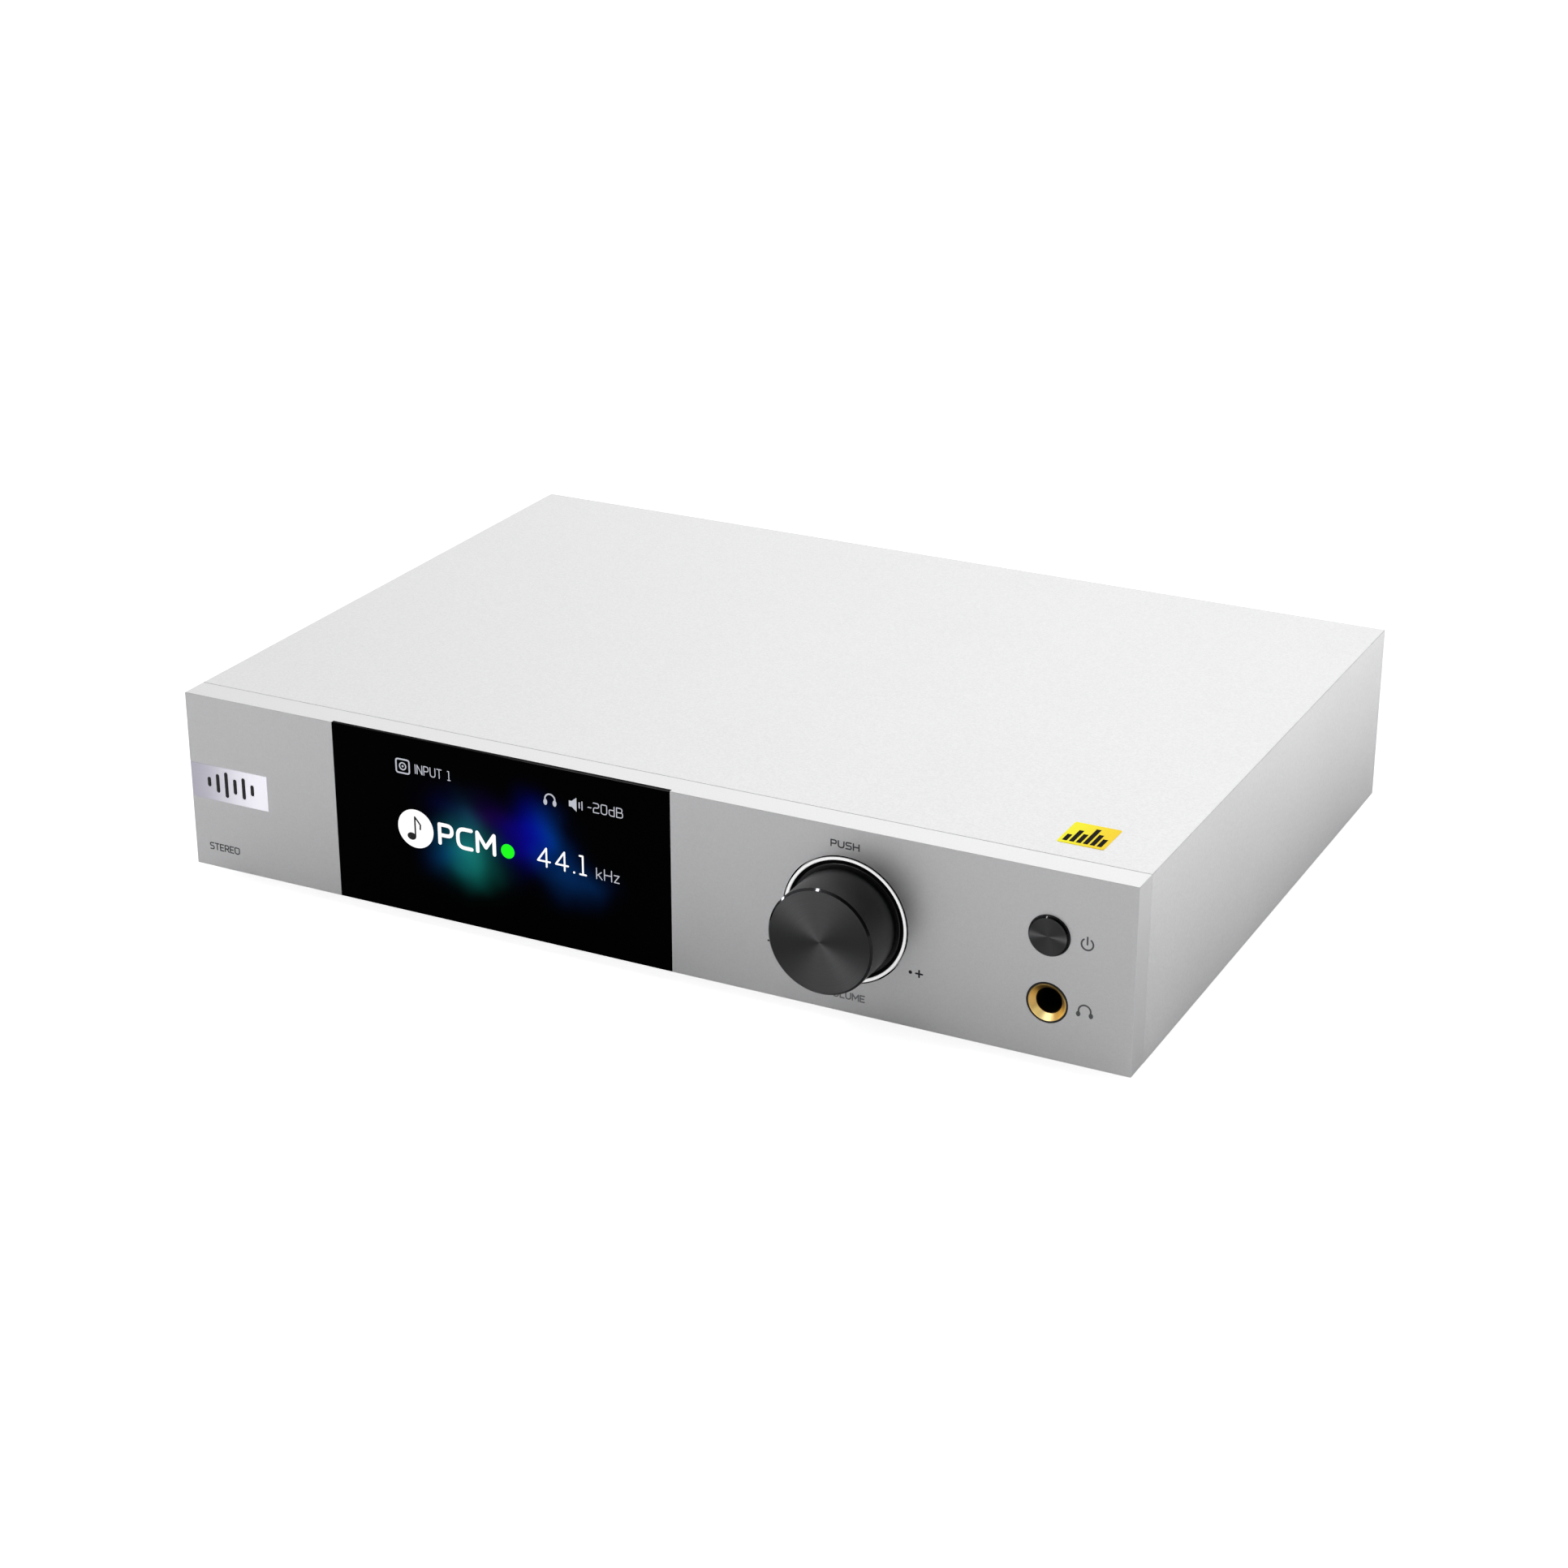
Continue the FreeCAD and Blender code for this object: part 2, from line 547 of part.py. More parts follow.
# --- Mains inlet and rocker switch
INLET_PINS = [(-7.0, -1.5), (7.0, -1.5), (0.0, 2.5)]    # (x, z) from the inlet's axis
PIN_HALF_W, PIN_HALF_H = 1.0, 2.0
INLET_PIN_Y0, BLADE_Y0 = 163.0, 164.0                   # front ends of pins and blades
BLADE_X, BLADE_Z = 2.6, 5.0                             # blade centres from the switch axis


def inlet_pin_box(dx, dz, y0, y1, gap=0):
    x, z = INLET_X + dx, INLET_Z + dz
    return box(x - PIN_HALF_W - gap, x + PIN_HALF_W + gap, y0, y1,
               z - PIN_HALF_H - gap, z + PIN_HALF_H + gap)


def mains_inlet():
    half_w, half_h, corner = 12.0, 8.2, 4.0
    cavity = [(-half_w, -half_h), (half_w, -half_h), (half_w, half_h - corner),
              (half_w - corner, half_h), (-half_w + corner, half_h), (-half_w, half_h - corner)]
    inlet = fuse(rounded_box_y(INLET_X, INLET_Z, 31.0, 23.5, REAR_Y1, REAR_Y1 + 2.5, 2.0),
                 rounded_box_y(INLET_X, INLET_Z, 27.2, 19.8, 171.0, REAR_Y1, 1.5))
    return cut(
        inlet,
        prism_y([(INLET_X + dx, INLET_Z + dz) for dx, dz in cavity], 174.6, REAR_Y1 + 4),
        *[inlet_pin_box(dx, dz, 170.0, 175.0, GAP) for dx, dz in INLET_PINS])


def mains_pins():
    pins = []
    for dx, dz in INLET_PINS:
        pin = inlet_pin_box(dx, dz, INLET_PIN_Y0, 188.0)
        tip = edges_along_two(pin, Z_AXIS, X_AXIS, lambda p: p.y > 187.9)
        pins.append(pin.makeChamfer(0.5, tip))
    return pins


def rocker_frame():
    x, z = ROCKER_X, ROCKER_Z
    frame = fuse(rounded_box_y(x, z, 15.4, 21.6, REAR_Y1, REAR_Y1 + 1.8, 1.2),
                 box(x - 6.6, x + 6.6, 173.0, REAR_Y1, z - 9.6, z + 9.6))
    frame = cut(frame, box(x - 5.3, x + 5.3, 181.0, REAR_Y1 + 4, z - 8.4, z + 8.4),
                cyl_x(ROCKER_Y, z, 1.25, x - 6.1, x + 6.1))
    for blade_z in (z - BLADE_Z, z + BLADE_Z):
        frame = fuse(frame, *[box(blade_x - 0.4, blade_x + 0.4, BLADE_Y0, 173.0,
                                  blade_z - 2.4, blade_z + 2.4)
                              for blade_x in (x - BLADE_X, x + BLADE_X)])
    return frame


def power_rocker():
    """Rocker with a hollowed rear face and cut marks, tilted about its pivot."""
    x, y, z = ROCKER_X, ROCKER_Y, ROCKER_Z
    half_h, steps = 7.7, 12
    arc = []
    for k in range(steps + 1):
        dz = -half_h + 2 * half_h * k / steps
        arc.append((y + 3.3 + 1.9 * (dz / half_h) ** 2, z + dz))
    outline = [(y - 1.6, z + 4.0), (y - 1.6, z - 4.0), (y + 2.6, z - half_h)]
    rocker = prism_x(outline + arc + [(y + 2.6, z + half_h)], x - 5.15, x + 5.15)
    rocker = fuse(rocker, cyl_x(y, z, 1.2, x - 5.9, x + 5.9))
    bar = box(x - 0.4, x + 0.4, y + 3.4, y + 9, z - 5.6, z - 2.8)
    ring = cut(cyl_y(x, z + 4.3, 1.5, y + 3.6, y + 9), cyl_y(x, z + 4.3, 0.9, y, y + 9))
    rocker = cut(rocker, bar, ring)
    rocker.rotate(Vector(x, y, z), X_AXIS, -ROCKER_TILT)
    return rocker


# --- Balanced outputs
XLR_Y0, XLR_PIN_Y0, XLR_PIN_Y1 = 171.0, 166.0, 190.0


def xlr_shells():
    shells = []
    for x in XLR_X:
        shell = fuse(rounded_box_y(x, XLR_Z, 26.0, 31.0, REAR_Y1, REAR_Y1 + XLR_FLANGE_T, 3.0),
                     cyl_y(x, XLR_Z, XLR_SHELL_R, XLR_Y0, REAR_Y1 + 4.4))
        shells.append(cut(
            shell,
            cyl_y(x, XLR_Z, XLR_BORE_R, XLR_Y0 - 1, REAR_Y1 + 6),
            box(x - 1.6, x + 1.6, REAR_Y1 - 6.0, REAR_Y1 + 6, XLR_Z - 10.5, XLR_Z - 9.0),
            *[cyl_y(sx, sz, M3_HOLE, REAR_Y1 - 1, REAR_Y1 + 4) for sx, sz in xlr_screws(x)]))
    return shells


def xlr_inserts():
    return [cut(cyl_y(x, XLR_Z, XLR_BORE_R - GAP, XLR_Y0, 178.0),
                *[cyl_y(x + dx, XLR_Z + dz, XLR_PIN_R + GAP, 170, 179) for dx, dz in XLR_PINS])
            for x in XLR_X]


def xlr_pins():
    pins = []
    for x in XLR_X:
        for dx, dz in XLR_PINS:
            pin = cyl_y(x + dx, XLR_Z + dz, XLR_PIN_R, XLR_PIN_Y0, XLR_PIN_Y1)
            tip = [e for e in pin.Edges if e.CenterOfMass.y > XLR_PIN_Y1 - 0.1
                   and e.Curve.TypeId == "Part::GeomCircle"]
            pins.append(pin.makeFillet(0.9, tip))
    return pins


# --- Unbalanced outputs and coaxial inputs
def rca_barrels():
    return [revolve_y(x, RCA_Z, [
        (RCA_BORE_R, REAR_Y0), (RCA_NECK_R, REAR_Y0), (RCA_NECK_R, REAR_Y1), (6.3, REAR_Y1),
        (6.3, REAR_Y1 + 1.1), (5.9, REAR_Y1 + 1.5), (RCA_R, REAR_Y1 + 1.5),
        (RCA_R, REAR_END - 0.4), (RCA_R - 0.4, REAR_END), (RCA_BORE_R, REAR_END)])
        for x in RCA_X]


def rca_insulators():
    """Core of each barrel with the body that stands on the board."""
    top = RCA_Z + 5.4
    return [cut(fuse(cyl_y(x, RCA_Z, RCA_BORE_R - GAP, REAR_Y0 - 0.2, REAR_END - 0.8),
                     rounded_box_y(x, (top + BOARD_TOP) / 2, 11.0, top - BOARD_TOP,
                                   175.0, REAR_Y0 - 0.1, 0.8)),
                cyl_y(x, RCA_Z, RCA_PIN_R, REAR_END - 14.8, REAR_END + 1)) for x in RCA_X]


# --- Optical inputs, each with a hinged shutter
HINGE_Y, HINGE_Z = REAR_Y1 - 0.7, OPTICAL_Z + 3.45


def optical_sockets():
    sockets = []
    for x in OPTICAL_X:
        body = box(x - 5.0, x + 5.0, 175.5, REAR_Y1 + 0.8, BOARD_TOP, OPTICAL_Z + 5.2)
        sockets.append(cut(
            round_y(body, 0.4),
            box(x - 4.1, x + 4.1, 180.3, REAR_Y1 + 3, OPTICAL_Z - 4.1, OPTICAL_Z + 4.1),
            cyl_x(HINGE_Y, HINGE_Z, 0.55, x - 4.6, x + 4.6),
            cyl_y(x, OPTICAL_Z, 1.3, 177.0, 181.0)))
    return sockets


def optical_shutter(x):
    flap = fuse(box(x - 4.0, x + 4.0, HINGE_Y - 0.4, HINGE_Y + 0.4,
                    OPTICAL_Z - 4.0, OPTICAL_Z + 3.85),
                cyl_x(HINGE_Y, HINGE_Z, 0.5, x - 4.5, x + 4.5))
    return flap.cut(box(x - 2.6, x + 2.6, HINGE_Y + 0.2, HINGE_Y + 1,
                        OPTICAL_Z - 3.0, OPTICAL_Z + 2.0))


# --- Computer input and antenna socket
def usb_socket():
    body = box(USB_X - 6.0, USB_X + 6.0, 173.5, REAR_Y1 + 0.9, BOARD_TOP, USB_Z + 5.5)
    mouth = [(-4.3, -3.9), (4.3, -3.9), (4.3, 1.9), (2.6, 3.9), (-2.6, 3.9), (-4.3, 1.9)]
    return round_y(body, 0.5).cut(
        prism_y([(USB_X + dx, USB_Z + dz) for dx, dz in mouth], 180.0, REAR_Y1 + 3))


def usb_tongue():
    tongue = box(USB_X - 2.8, USB_X + 2.8, 180.0, REAR_Y1 - 0.9, USB_Z - 1.6, USB_Z + 1.6)
    tip = edges_along(tongue, X_AXIS, lambda p: p.y > REAR_Y1 - 1)
    # contact grooves above and below
    return cut(tongue.makeChamfer(0.4, tip),
               *[box(USB_X + dx - 0.5, USB_X + dx + 0.5, 180.5, REAR_Y1, USB_Z + z0, USB_Z + z1)
                 for dx in (-1.25, 1.25) for z0, z1 in ((1.4, 2), (-2, -1.4))])


def antenna_socket():
    x, z, nut_y1 = ANTENNA_X, ANTENNA_Z, REAR_Y1 + 2.0
    socket = fuse(cyl_y(x, z, ANTENNA_NECK_R, 180.0, REAR_Y1),
                  prism_y(hexagon(x, z, 8.0, 30), REAR_Y1, nut_y1),
                  cyl_y(x, z, ANTENNA_R, nut_y1, REAR_END),
                  box(x - 3.2, x + 3.2, 176.0, 181.0, BOARD_TOP, z + 3.0))
    return socket.cut(Part.makeCone(0.5, 2.2, 1.8, Vector(x, REAR_END - 1.8, z), Y_AXIS))


# --- Boards and their fixings
def main_board():
    board = cut(rounded_box_z(-52.0, 124.6, 71.0, 185.5, BOARD_BOTTOM, BOARD_TOP, 1.5),
                box(-60.0, -14.0, 162.5, 190.0, *THROUGH_BOARD),    # clears balanced sockets
                *[cyl_z(x, y, M3_HOLE, *THROUGH_BOARD) for x, y in MAIN_MOUNTS])
    # ribbon connector and wire header
    return fuse(board, box(-46.0, -30.0, 71.3, 74.9, BOARD_TOP, BOARD_TOP + 2.8),
                box(-50.0, -46.5, 92.0, 112.0, BOARD_TOP, BOARD_TOP + OUTPUT_HEADER_H))


def psu_board():
    board = cut(rounded_box_z(-123.0, -60.0, 52.0, 157.0, BOARD_BOTTOM, BOARD_TOP, 1.5),
                *[cyl_z(x, y, M3_HOLE, *THROUGH_BOARD) for x, y in PSU_MOUNTS])
    # headers for the mains and output wires
    return fuse(board,
                box(-114.5, -102.5, 146.0, 155.0, BOARD_TOP, BOARD_TOP + MAINS_HEADER_H),
                box(-66.0, -62.0, 70.0, 90.0, BOARD_TOP, BOARD_TOP + OUTPUT_HEADER_H))


def board_standoffs():
    return [cut(prism_z(hexagon(x, y, 5.5), BASE_T, BOARD_BOTTOM),
                cyl_z(x, y, M3_HOLE, BASE_T + 2, BOARD_BOTTOM + 1))
            for x, y in MAIN_MOUNTS + PSU_MOUNTS]


def board_screws():
    forward = (0, -1, 0)
    return ([screw((x, y, BOARD_TOP + 2.0), (0, 0, -1), 2.8, 2.0, M3, 7.0)
             for x, y in MAIN_MOUNTS + PSU_MOUNTS]
            + [screw((x, FRONT_BOARD_Y1 + 1.6, z), forward, 2.4, 1.6, M25, 8.0)
               for x, z in SPACERS]
            + [screw((x, FACE_T + 1.2 + 1.8, FRONT_SCREW_Z), forward, 2.8, 1.8, M3, 6.5)
               for x in FRONT_SCREW_X])


# --- Main board components
# x0, y0, length in x, length in y, height
CHIPS = (
    (-20, 108, 17, 17, 1.6), (8, 112, 12, 12, 1.2), (34, 96, 10, 10, 1.2),
    (62, 118, 9, 9, 1.2), (62, 136, 9, 9, 1.2), (84, 118, 7, 5, 1.5),
    (84, 130, 7, 5, 1.5), (84, 142, 7, 5, 1.5), (-20, 140, 10, 7, 1.5),
    (4, 146, 10, 7, 1.5), (-40, 96, 6, 6, 1.2), (100, 96, 8, 6, 1.5))
# x, y, radius, height
AUDIO_CAPACITORS = (
    (96, 110, 4, 12), (96, 120, 4, 12), (96, 130, 4, 12), (96, 140, 4, 12),
    (108, 112, 5, 16), (108, 125, 5, 16), (108, 138, 5, 16),
    (-36, 112, 4, 11), (-36, 124, 4, 11), (-36, 136, 4, 11),
    (-4, 88, 4, 11), (8, 88, 4, 11), (66, 96, 3.2, 8), (76, 96, 3.2, 8))
PSU_CAPACITORS = (
    (-112.0, 76.0, 8.0, 25.0), (-94.0, 70.0, 8.0, 25.0),
    (-76.0, 72.0, 6.3, 20.0), (-76.0, 134.5, 5.0, 16.0))


def chip(x0, y0, length, depth, height):
    z = BOARD_TOP
    body = box(x0, x0 + length, y0, y0 + depth, z + 0.1, z + height + 0.1)
    body = body.makeChamfer(
        0.2, edges_along_two(body, X_AXIS, Y_AXIS, lambda p: p.z > z + height))
    count = int(length / 1.6)
    leg_x = [x0 + (k + 0.5) * length / count for k in range(count)]
    return fuse(body, *[box(x - 0.3, x + 0.3, y0 - 1.2, y0 + depth + 1.2, z, z + 0.35)
                        for x in leg_x])


def main_chips():
    return [chip(*row) for row in CHIPS]


def shield_can():
    z = BOARD_TOP
    can = cut(rounded_box_z(24.0, 56.0, 112.0, 146.0, z, z + 9.0, 1.0),
              rounded_box_z(24.4, 55.6, 112.4, 145.6, z - 1, z + 8.6, 0.8))
    holes = [cyl_z(28 + 6 * i, 117 + 6 * j, 1.0, z + 7, z + 10)
             for i in range(5) for j in range(5)]
    return can.cut(Part.makeCompound(holes))


def capacitor(x, y, r, height):
    """Upright can with a groove near its foot and a rim round its top."""
    z, top = BOARD_TOP, BOARD_TOP + height
    return revolve_z(x, y, [
        (0, z + 0.6), (r - 0.6, z + 0.6), (r - 0.6, z), (r - 0.1, z), (r, z + 0.2),
        (r, z + 2.0), (r - 0.35, z + 2.4), (r, z + 2.8), (r, top - 0.3), (r - 0.3, top),
        (r - 0.9, top), (r - 1.1, top - 0.3), (0, top - 0.3)])


def audio_capacitors():
    return [capacitor(*row) for row in AUDIO_CAPACITORS]


def output_relays():
    return [rounded_box_z(x, x + 14.8, 158.0, 165.3, BOARD_TOP, BOARD_TOP + 9.6, 0.5)
            for x in (-12.0, 5.0, 28.0, 46.0)]


# --- Power supply components
def psu_transformer():
    z = BOARD_TOP
    core = cut(box(-104.0, -74.0, 92.0, 120.0, z + 1.0, z + 25.0),
               *[box(x, x + 5.0, 91.0, 121.0, z + 5.5, z + 20.5) for x in (-99.0, -84.0)])
    bobbin = fuse(rounded_box_y(-89.0, z + 13.0, 19.6, 14.6, 88.5, 123.5, 2.0),
                  *[box(-100.0, -78.0, y, y + 4.0, z, z + 22.0) for y in (86.5, 121.5)])
    return fuse(core, bobbin)


def psu_capacitors():
    return [capacitor(*row) for row in PSU_CAPACITORS]


def psu_heatsink():
    z0, z1 = BOARD_TOP, BOARD_TOP + 24.0
    fin_y = [93.0 + k * 9.6 for k in range(5)]
    return fuse(box(-116.0, -112.0, 92.0, 136.0, z0, z1),
                *[box(-112.0, -107.0, y, y + 2.0, z0, z1) for y in fin_y])


# --- Wiring
def mains_wires():
    """Inlet to header, inlet to switch, switch to header."""
    inlet_y, inlet_z, switch_y = INLET_PIN_Y0 - 0.1, INLET_Z - 1.5, BLADE_Y0 - 0.1
    left, right = INLET_X - 7.0, INLET_X + 7.0
    near, far, switch_z = ROCKER_X - BLADE_X, ROCKER_X + BLADE_X, ROCKER_Z + BLADE_Z
    header_y, header_z = 150.5, BOARD_TOP + MAINS_HEADER_H + 0.05
    routes = (
        [(left, inlet_y, inlet_z), (left, 154.0, inlet_z),
         (-111.5, header_y, BOARD_TOP + 20.0), (-111.5, header_y, header_z)],
        [(right, inlet_y, inlet_z), (right, 150.0, inlet_z),
         (near, 150.0, switch_z), (near, switch_y, switch_z)],
        [(far, switch_y, switch_z), (far, 146.0, switch_z),
         (-105.0, header_y, BOARD_TOP + 34.0), (-105.0, header_y, header_z)])
    return [wire(route, 1.3) for route in routes]


def low_voltage_wires():
    wires = []
    board_z = BOARD_TOP + 0.05
    # headphone contacts to the main board
    for dx in CONTACT_DX:
        start_x, z, end_x = JACK_X + dx, JACK_Z + 4.6, JACK_X + dx * 0.6 - 10
        wires.append(wire([(start_x, 38.6, z), (start_x, 62.0, z),
                           (end_x, 83.0, BOARD_TOP + 16.0), (end_x, 83.0, board_z)], 0.8))
    # power supply header to the main board header
    low, high = BOARD_TOP + OUTPUT_HEADER_H + 0.05, BOARD_TOP + 17.0
    for k in range(5):
        y = 73.0 + 3.4 * k
        wires.append(wire([(-64.0, y, low), (-64.0, y, high),
                           (-48.25, y + 21.5, high), (-48.25, y + 21.5, low)], 0.9))
    # balanced socket pins, left to right, to the main board
    for socket_x, first_x in zip(XLR_X, (-50.0, -31.0)):
        for k, (dx, dz) in enumerate(sorted(XLR_PINS)):
            x, z, end_x = socket_x + dx, XLR_Z + dz, first_x + 2.6 * k
            wires.append(wire([(x, XLR_PIN_Y0 - 0.1, z), (x, 158.0, z),
                               (end_x, 149.5, BOARD_TOP + 9.0), (end_x, 149.5, board_z)], 0.6))
    return wires


# --- Export
SHIFT = Vector(0.0, -(REAR_END - KNOB_PROJ) / 2.0, FOOT_H)
# each function's name is its piece's file name
PIECES = (
    front_panel, display_glass, badge_plate, knob_light_ring, knob_dish, volume_knob,
    knob_insert, encoder_shaft, encoder_bushing, encoder_nut, encoder_housing, encoder_rotor,
    encoder_plunger, power_button, power_switch_body, power_switch_plunger, headphone_bezel,
    headphone_jack_body, headphone_contacts, lcd_panel, front_board, front_board_spacers,
    display_ribbon, top_cover, side_rails, bottom_plate, bottom_screws, rubber_feet,
    foot_screws, top_label, rear_panel, rear_panel_screws, mains_inlet, mains_pins,
    rocker_frame, power_rocker, xlr_shells, xlr_inserts, xlr_pins, rca_barrels,
    rca_insulators, optical_sockets, usb_socket, usb_tongue, antenna_socket, main_board,
    psu_board, board_standoffs, board_screws, main_chips, shield_can, audio_capacitors,
    output_relays, psu_transformer, psu_capacitors, psu_heatsink, mains_wires,
    low_voltage_wires)


def export(name, built):
    """Writes one shape, or a list of shapes, moved to the export frame."""
    moved = []
    for shape in built if isinstance(built, list) else [built]:
        for solid in shape.Solids:
            solid = solid.copy()
            solid.translate(SHIFT)
            # some solids come out inside out
            if solid.Volume <= 0:
                solid.reverse()
            moved.append(solid)
    result = moved[0] if len(moved) == 1 else Part.makeCompound(moved)
    result.exportStep("parts/%s.step" % name)


os.makedirs("parts", exist_ok=True)
for piece in PIECES:
    export(piece.__name__, piece())
for number, shutter_x in enumerate(OPTICAL_X, 1):
    export("optical_shutter_%d" % number, optical_shutter(shutter_x))
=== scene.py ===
import math
import bmesh
import bpy
from mathutils import Matrix, Vector

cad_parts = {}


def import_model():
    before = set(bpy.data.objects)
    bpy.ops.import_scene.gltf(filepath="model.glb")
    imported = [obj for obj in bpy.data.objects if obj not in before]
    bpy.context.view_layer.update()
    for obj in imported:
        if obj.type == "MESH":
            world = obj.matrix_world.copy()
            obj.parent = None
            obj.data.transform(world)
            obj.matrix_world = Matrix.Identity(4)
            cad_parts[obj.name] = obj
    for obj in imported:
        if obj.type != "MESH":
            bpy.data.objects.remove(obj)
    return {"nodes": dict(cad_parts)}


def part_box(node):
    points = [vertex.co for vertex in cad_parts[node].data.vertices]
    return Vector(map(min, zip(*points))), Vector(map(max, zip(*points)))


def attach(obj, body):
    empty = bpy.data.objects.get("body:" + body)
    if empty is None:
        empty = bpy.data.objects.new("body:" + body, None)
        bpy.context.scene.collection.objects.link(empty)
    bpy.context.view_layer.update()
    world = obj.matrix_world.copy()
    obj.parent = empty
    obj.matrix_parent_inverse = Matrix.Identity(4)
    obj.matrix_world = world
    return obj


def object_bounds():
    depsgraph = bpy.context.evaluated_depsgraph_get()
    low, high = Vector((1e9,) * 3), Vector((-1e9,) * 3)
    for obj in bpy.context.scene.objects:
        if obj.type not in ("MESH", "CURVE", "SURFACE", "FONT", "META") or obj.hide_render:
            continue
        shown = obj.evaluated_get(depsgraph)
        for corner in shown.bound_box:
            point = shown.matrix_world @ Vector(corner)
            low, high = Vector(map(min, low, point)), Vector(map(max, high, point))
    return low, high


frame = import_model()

cad_lo, cad_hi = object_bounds()
N = frame["nodes"]
S = bpy.context.scene
MM = 0.001

# ------------------------------------------------------------------ places, from the frame
p_lo, p_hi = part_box("front_panel")
YF, X0, X1, Z0, Z1 = p_lo.y, p_lo.x, p_hi.x, p_lo.z, p_hi.z       # front face, sides, underside and top of the case
g_lo, g_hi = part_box("display_glass")
k_lo, k_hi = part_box("volume_knob")
KX, KZ, KFACE = (k_lo.x + k_hi.x) / 2, (k_lo.z + k_hi.z) / 2, k_lo.y
b_lo, b_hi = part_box("power_button")
BX, BZ = (b_lo.x + b_hi.x) / 2, (b_lo.z + b_hi.z) / 2
j_lo, j_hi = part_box("headphone_bezel")
JX, JZ = (j_lo.x + j_hi.x) / 2, (j_lo.z + j_hi.z) / 2
l_lo, l_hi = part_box("top_label")
r_lo, r_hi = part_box("rear_panel")
d_lo, d_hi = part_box("badge_plate")


def fx(mm):
    """x from millimetres right of the centre."""
    return mm * MM


def fz(mm):
    """z from millimetres above the underside of the case."""
    return Z0 + mm * MM


# ------------------------------------------------------------------ node graphs
class G:
    """Small builder for a material's or world's node graph."""

    def __init__(self, name, world=False):
        self.owner = bpy.data.worlds.new(name) if world else bpy.data.materials.new(name)
        self.owner.use_nodes = True
        self.t = self.owner.node_tree
        self.t.nodes.clear()
        self.n = self.t.nodes
        self.out = self.new("ShaderNodeOutputWorld" if world else "ShaderNodeOutputMaterial")

    def new(self, kind, **props):
        node = self.t.nodes.new(kind)
        for k, v in props.items():
            setattr(node, k, v)
        return node

    def put(self, socket, v):
        if isinstance(v, bpy.types.NodeSocket):
            self.t.links.new(v, socket)
        elif v is not None:
            socket.default_value = v

    def math(self, op, a, b=None, c=None, clamp=False):
        m = self.new("ShaderNodeMath", operation=op, use_clamp=clamp)
        self.put(m.inputs[0], a)
        if b is not None:
            self.put(m.inputs[1], b)
        if c is not None:
            self.put(m.inputs[2], c)
        return m.outputs[0]

    def vec(self, op, a, b=None, scale=None):
        m = self.new("ShaderNodeVectorMath", operation=op)
        self.put(m.inputs[0], a)
        if b is not None:
            self.put(m.inputs[1], b)
        if scale is not None:
            self.put(m.inputs["Scale"], scale)
        return m.outputs["Value"] if op in ("LENGTH", "DISTANCE", "DOT_PRODUCT") else m.outputs["Vector"]

    def sep(self, v):
        s = self.new("ShaderNodeSeparateXYZ")
        self.put(s.inputs[0], v)
        return s.outputs

    def comb(self, x, y, z):
        s = self.new("ShaderNodeCombineXYZ")
        for i, v in enumerate((x, y, z)):
            self.put(s.inputs[i], v)
        return s.outputs[0]

    def coord(self, kind="Object"):
        return self.new("ShaderNodeTexCoord").outputs[kind]

    def noise(self, scale, detail=2.0, rough=0.5, vector=None, distortion=0.0):
        t = self.new("ShaderNodeTexNoise")
        self.put(t.inputs["Vector"], vector if vector is not None else self.coord())
        t.inputs["Scale"].default_value = scale
        t.inputs["Detail"].default_value = detail
        t.inputs["Roughness"].default_value = rough
        t.inputs["Distortion"].default_value = distortion
        return t.outputs["Fac"]

    def remap(self, v, a, b, c, d, smooth=False):
        m = self.new("ShaderNodeMapRange", interpolation_type="SMOOTHSTEP" if smooth else "LINEAR")
        for i, x in enumerate((v, a, b, c, d)):
            self.put(m.inputs[i], x)
        return m.outputs[0]

    def mix(self, f, a, b, blend="MIX"):
        m = self.new("ShaderNodeMix", data_type="RGBA", blend_type=blend)
        self.put(m.inputs[0], f)
        for i, v in ((6, a), (7, b)):
            self.put(m.inputs[i], (*v, 1.0) if isinstance(v, (tuple, list)) and len(v) == 3 else v)
        return m.outputs[2]

    def mixf(self, f, a, b):
        m = self.new("ShaderNodeMix", data_type="FLOAT")
        self.put(m.inputs[0], f)
        self.put(m.inputs[2], a)
        self.put(m.inputs[3], b)
        return m.outputs[0]

    def bump(self, height, strength, distance, normal=None):
        b = self.new("ShaderNodeBump")
        b.inputs["Strength"].default_value = strength
        b.inputs["Distance"].default_value = distance
        self.put(b.inputs["Height"], height)
        if normal is not None:
            self.put(b.inputs["Normal"], normal)
        return b.outputs[0]

    def principled(self, **kw):
        p = self.new("ShaderNodeBsdfPrincipled")
        for k, v in kw.items():
            k = k.replace("_", " ")
            s = p.inputs[k]
            if isinstance(v, (tuple, list)) and len(v) == 3 and s.type == "RGBA":
                v = (*v, 1.0)
            self.put(s, v)
        return p

    def done(self, shader):
        self.t.links.new(shader if isinstance(shader, bpy.types.NodeSocket) else shader.outputs[0], self.out.inputs[0])
        return self.owner


def lin(*c):
    """Linear colour from 0-255 display values."""
    return tuple((v / 255 / 12.92) if v / 255 <= 0.04045 else ((v / 255 + 0.055) / 1.055) ** 2.4 for v in c)


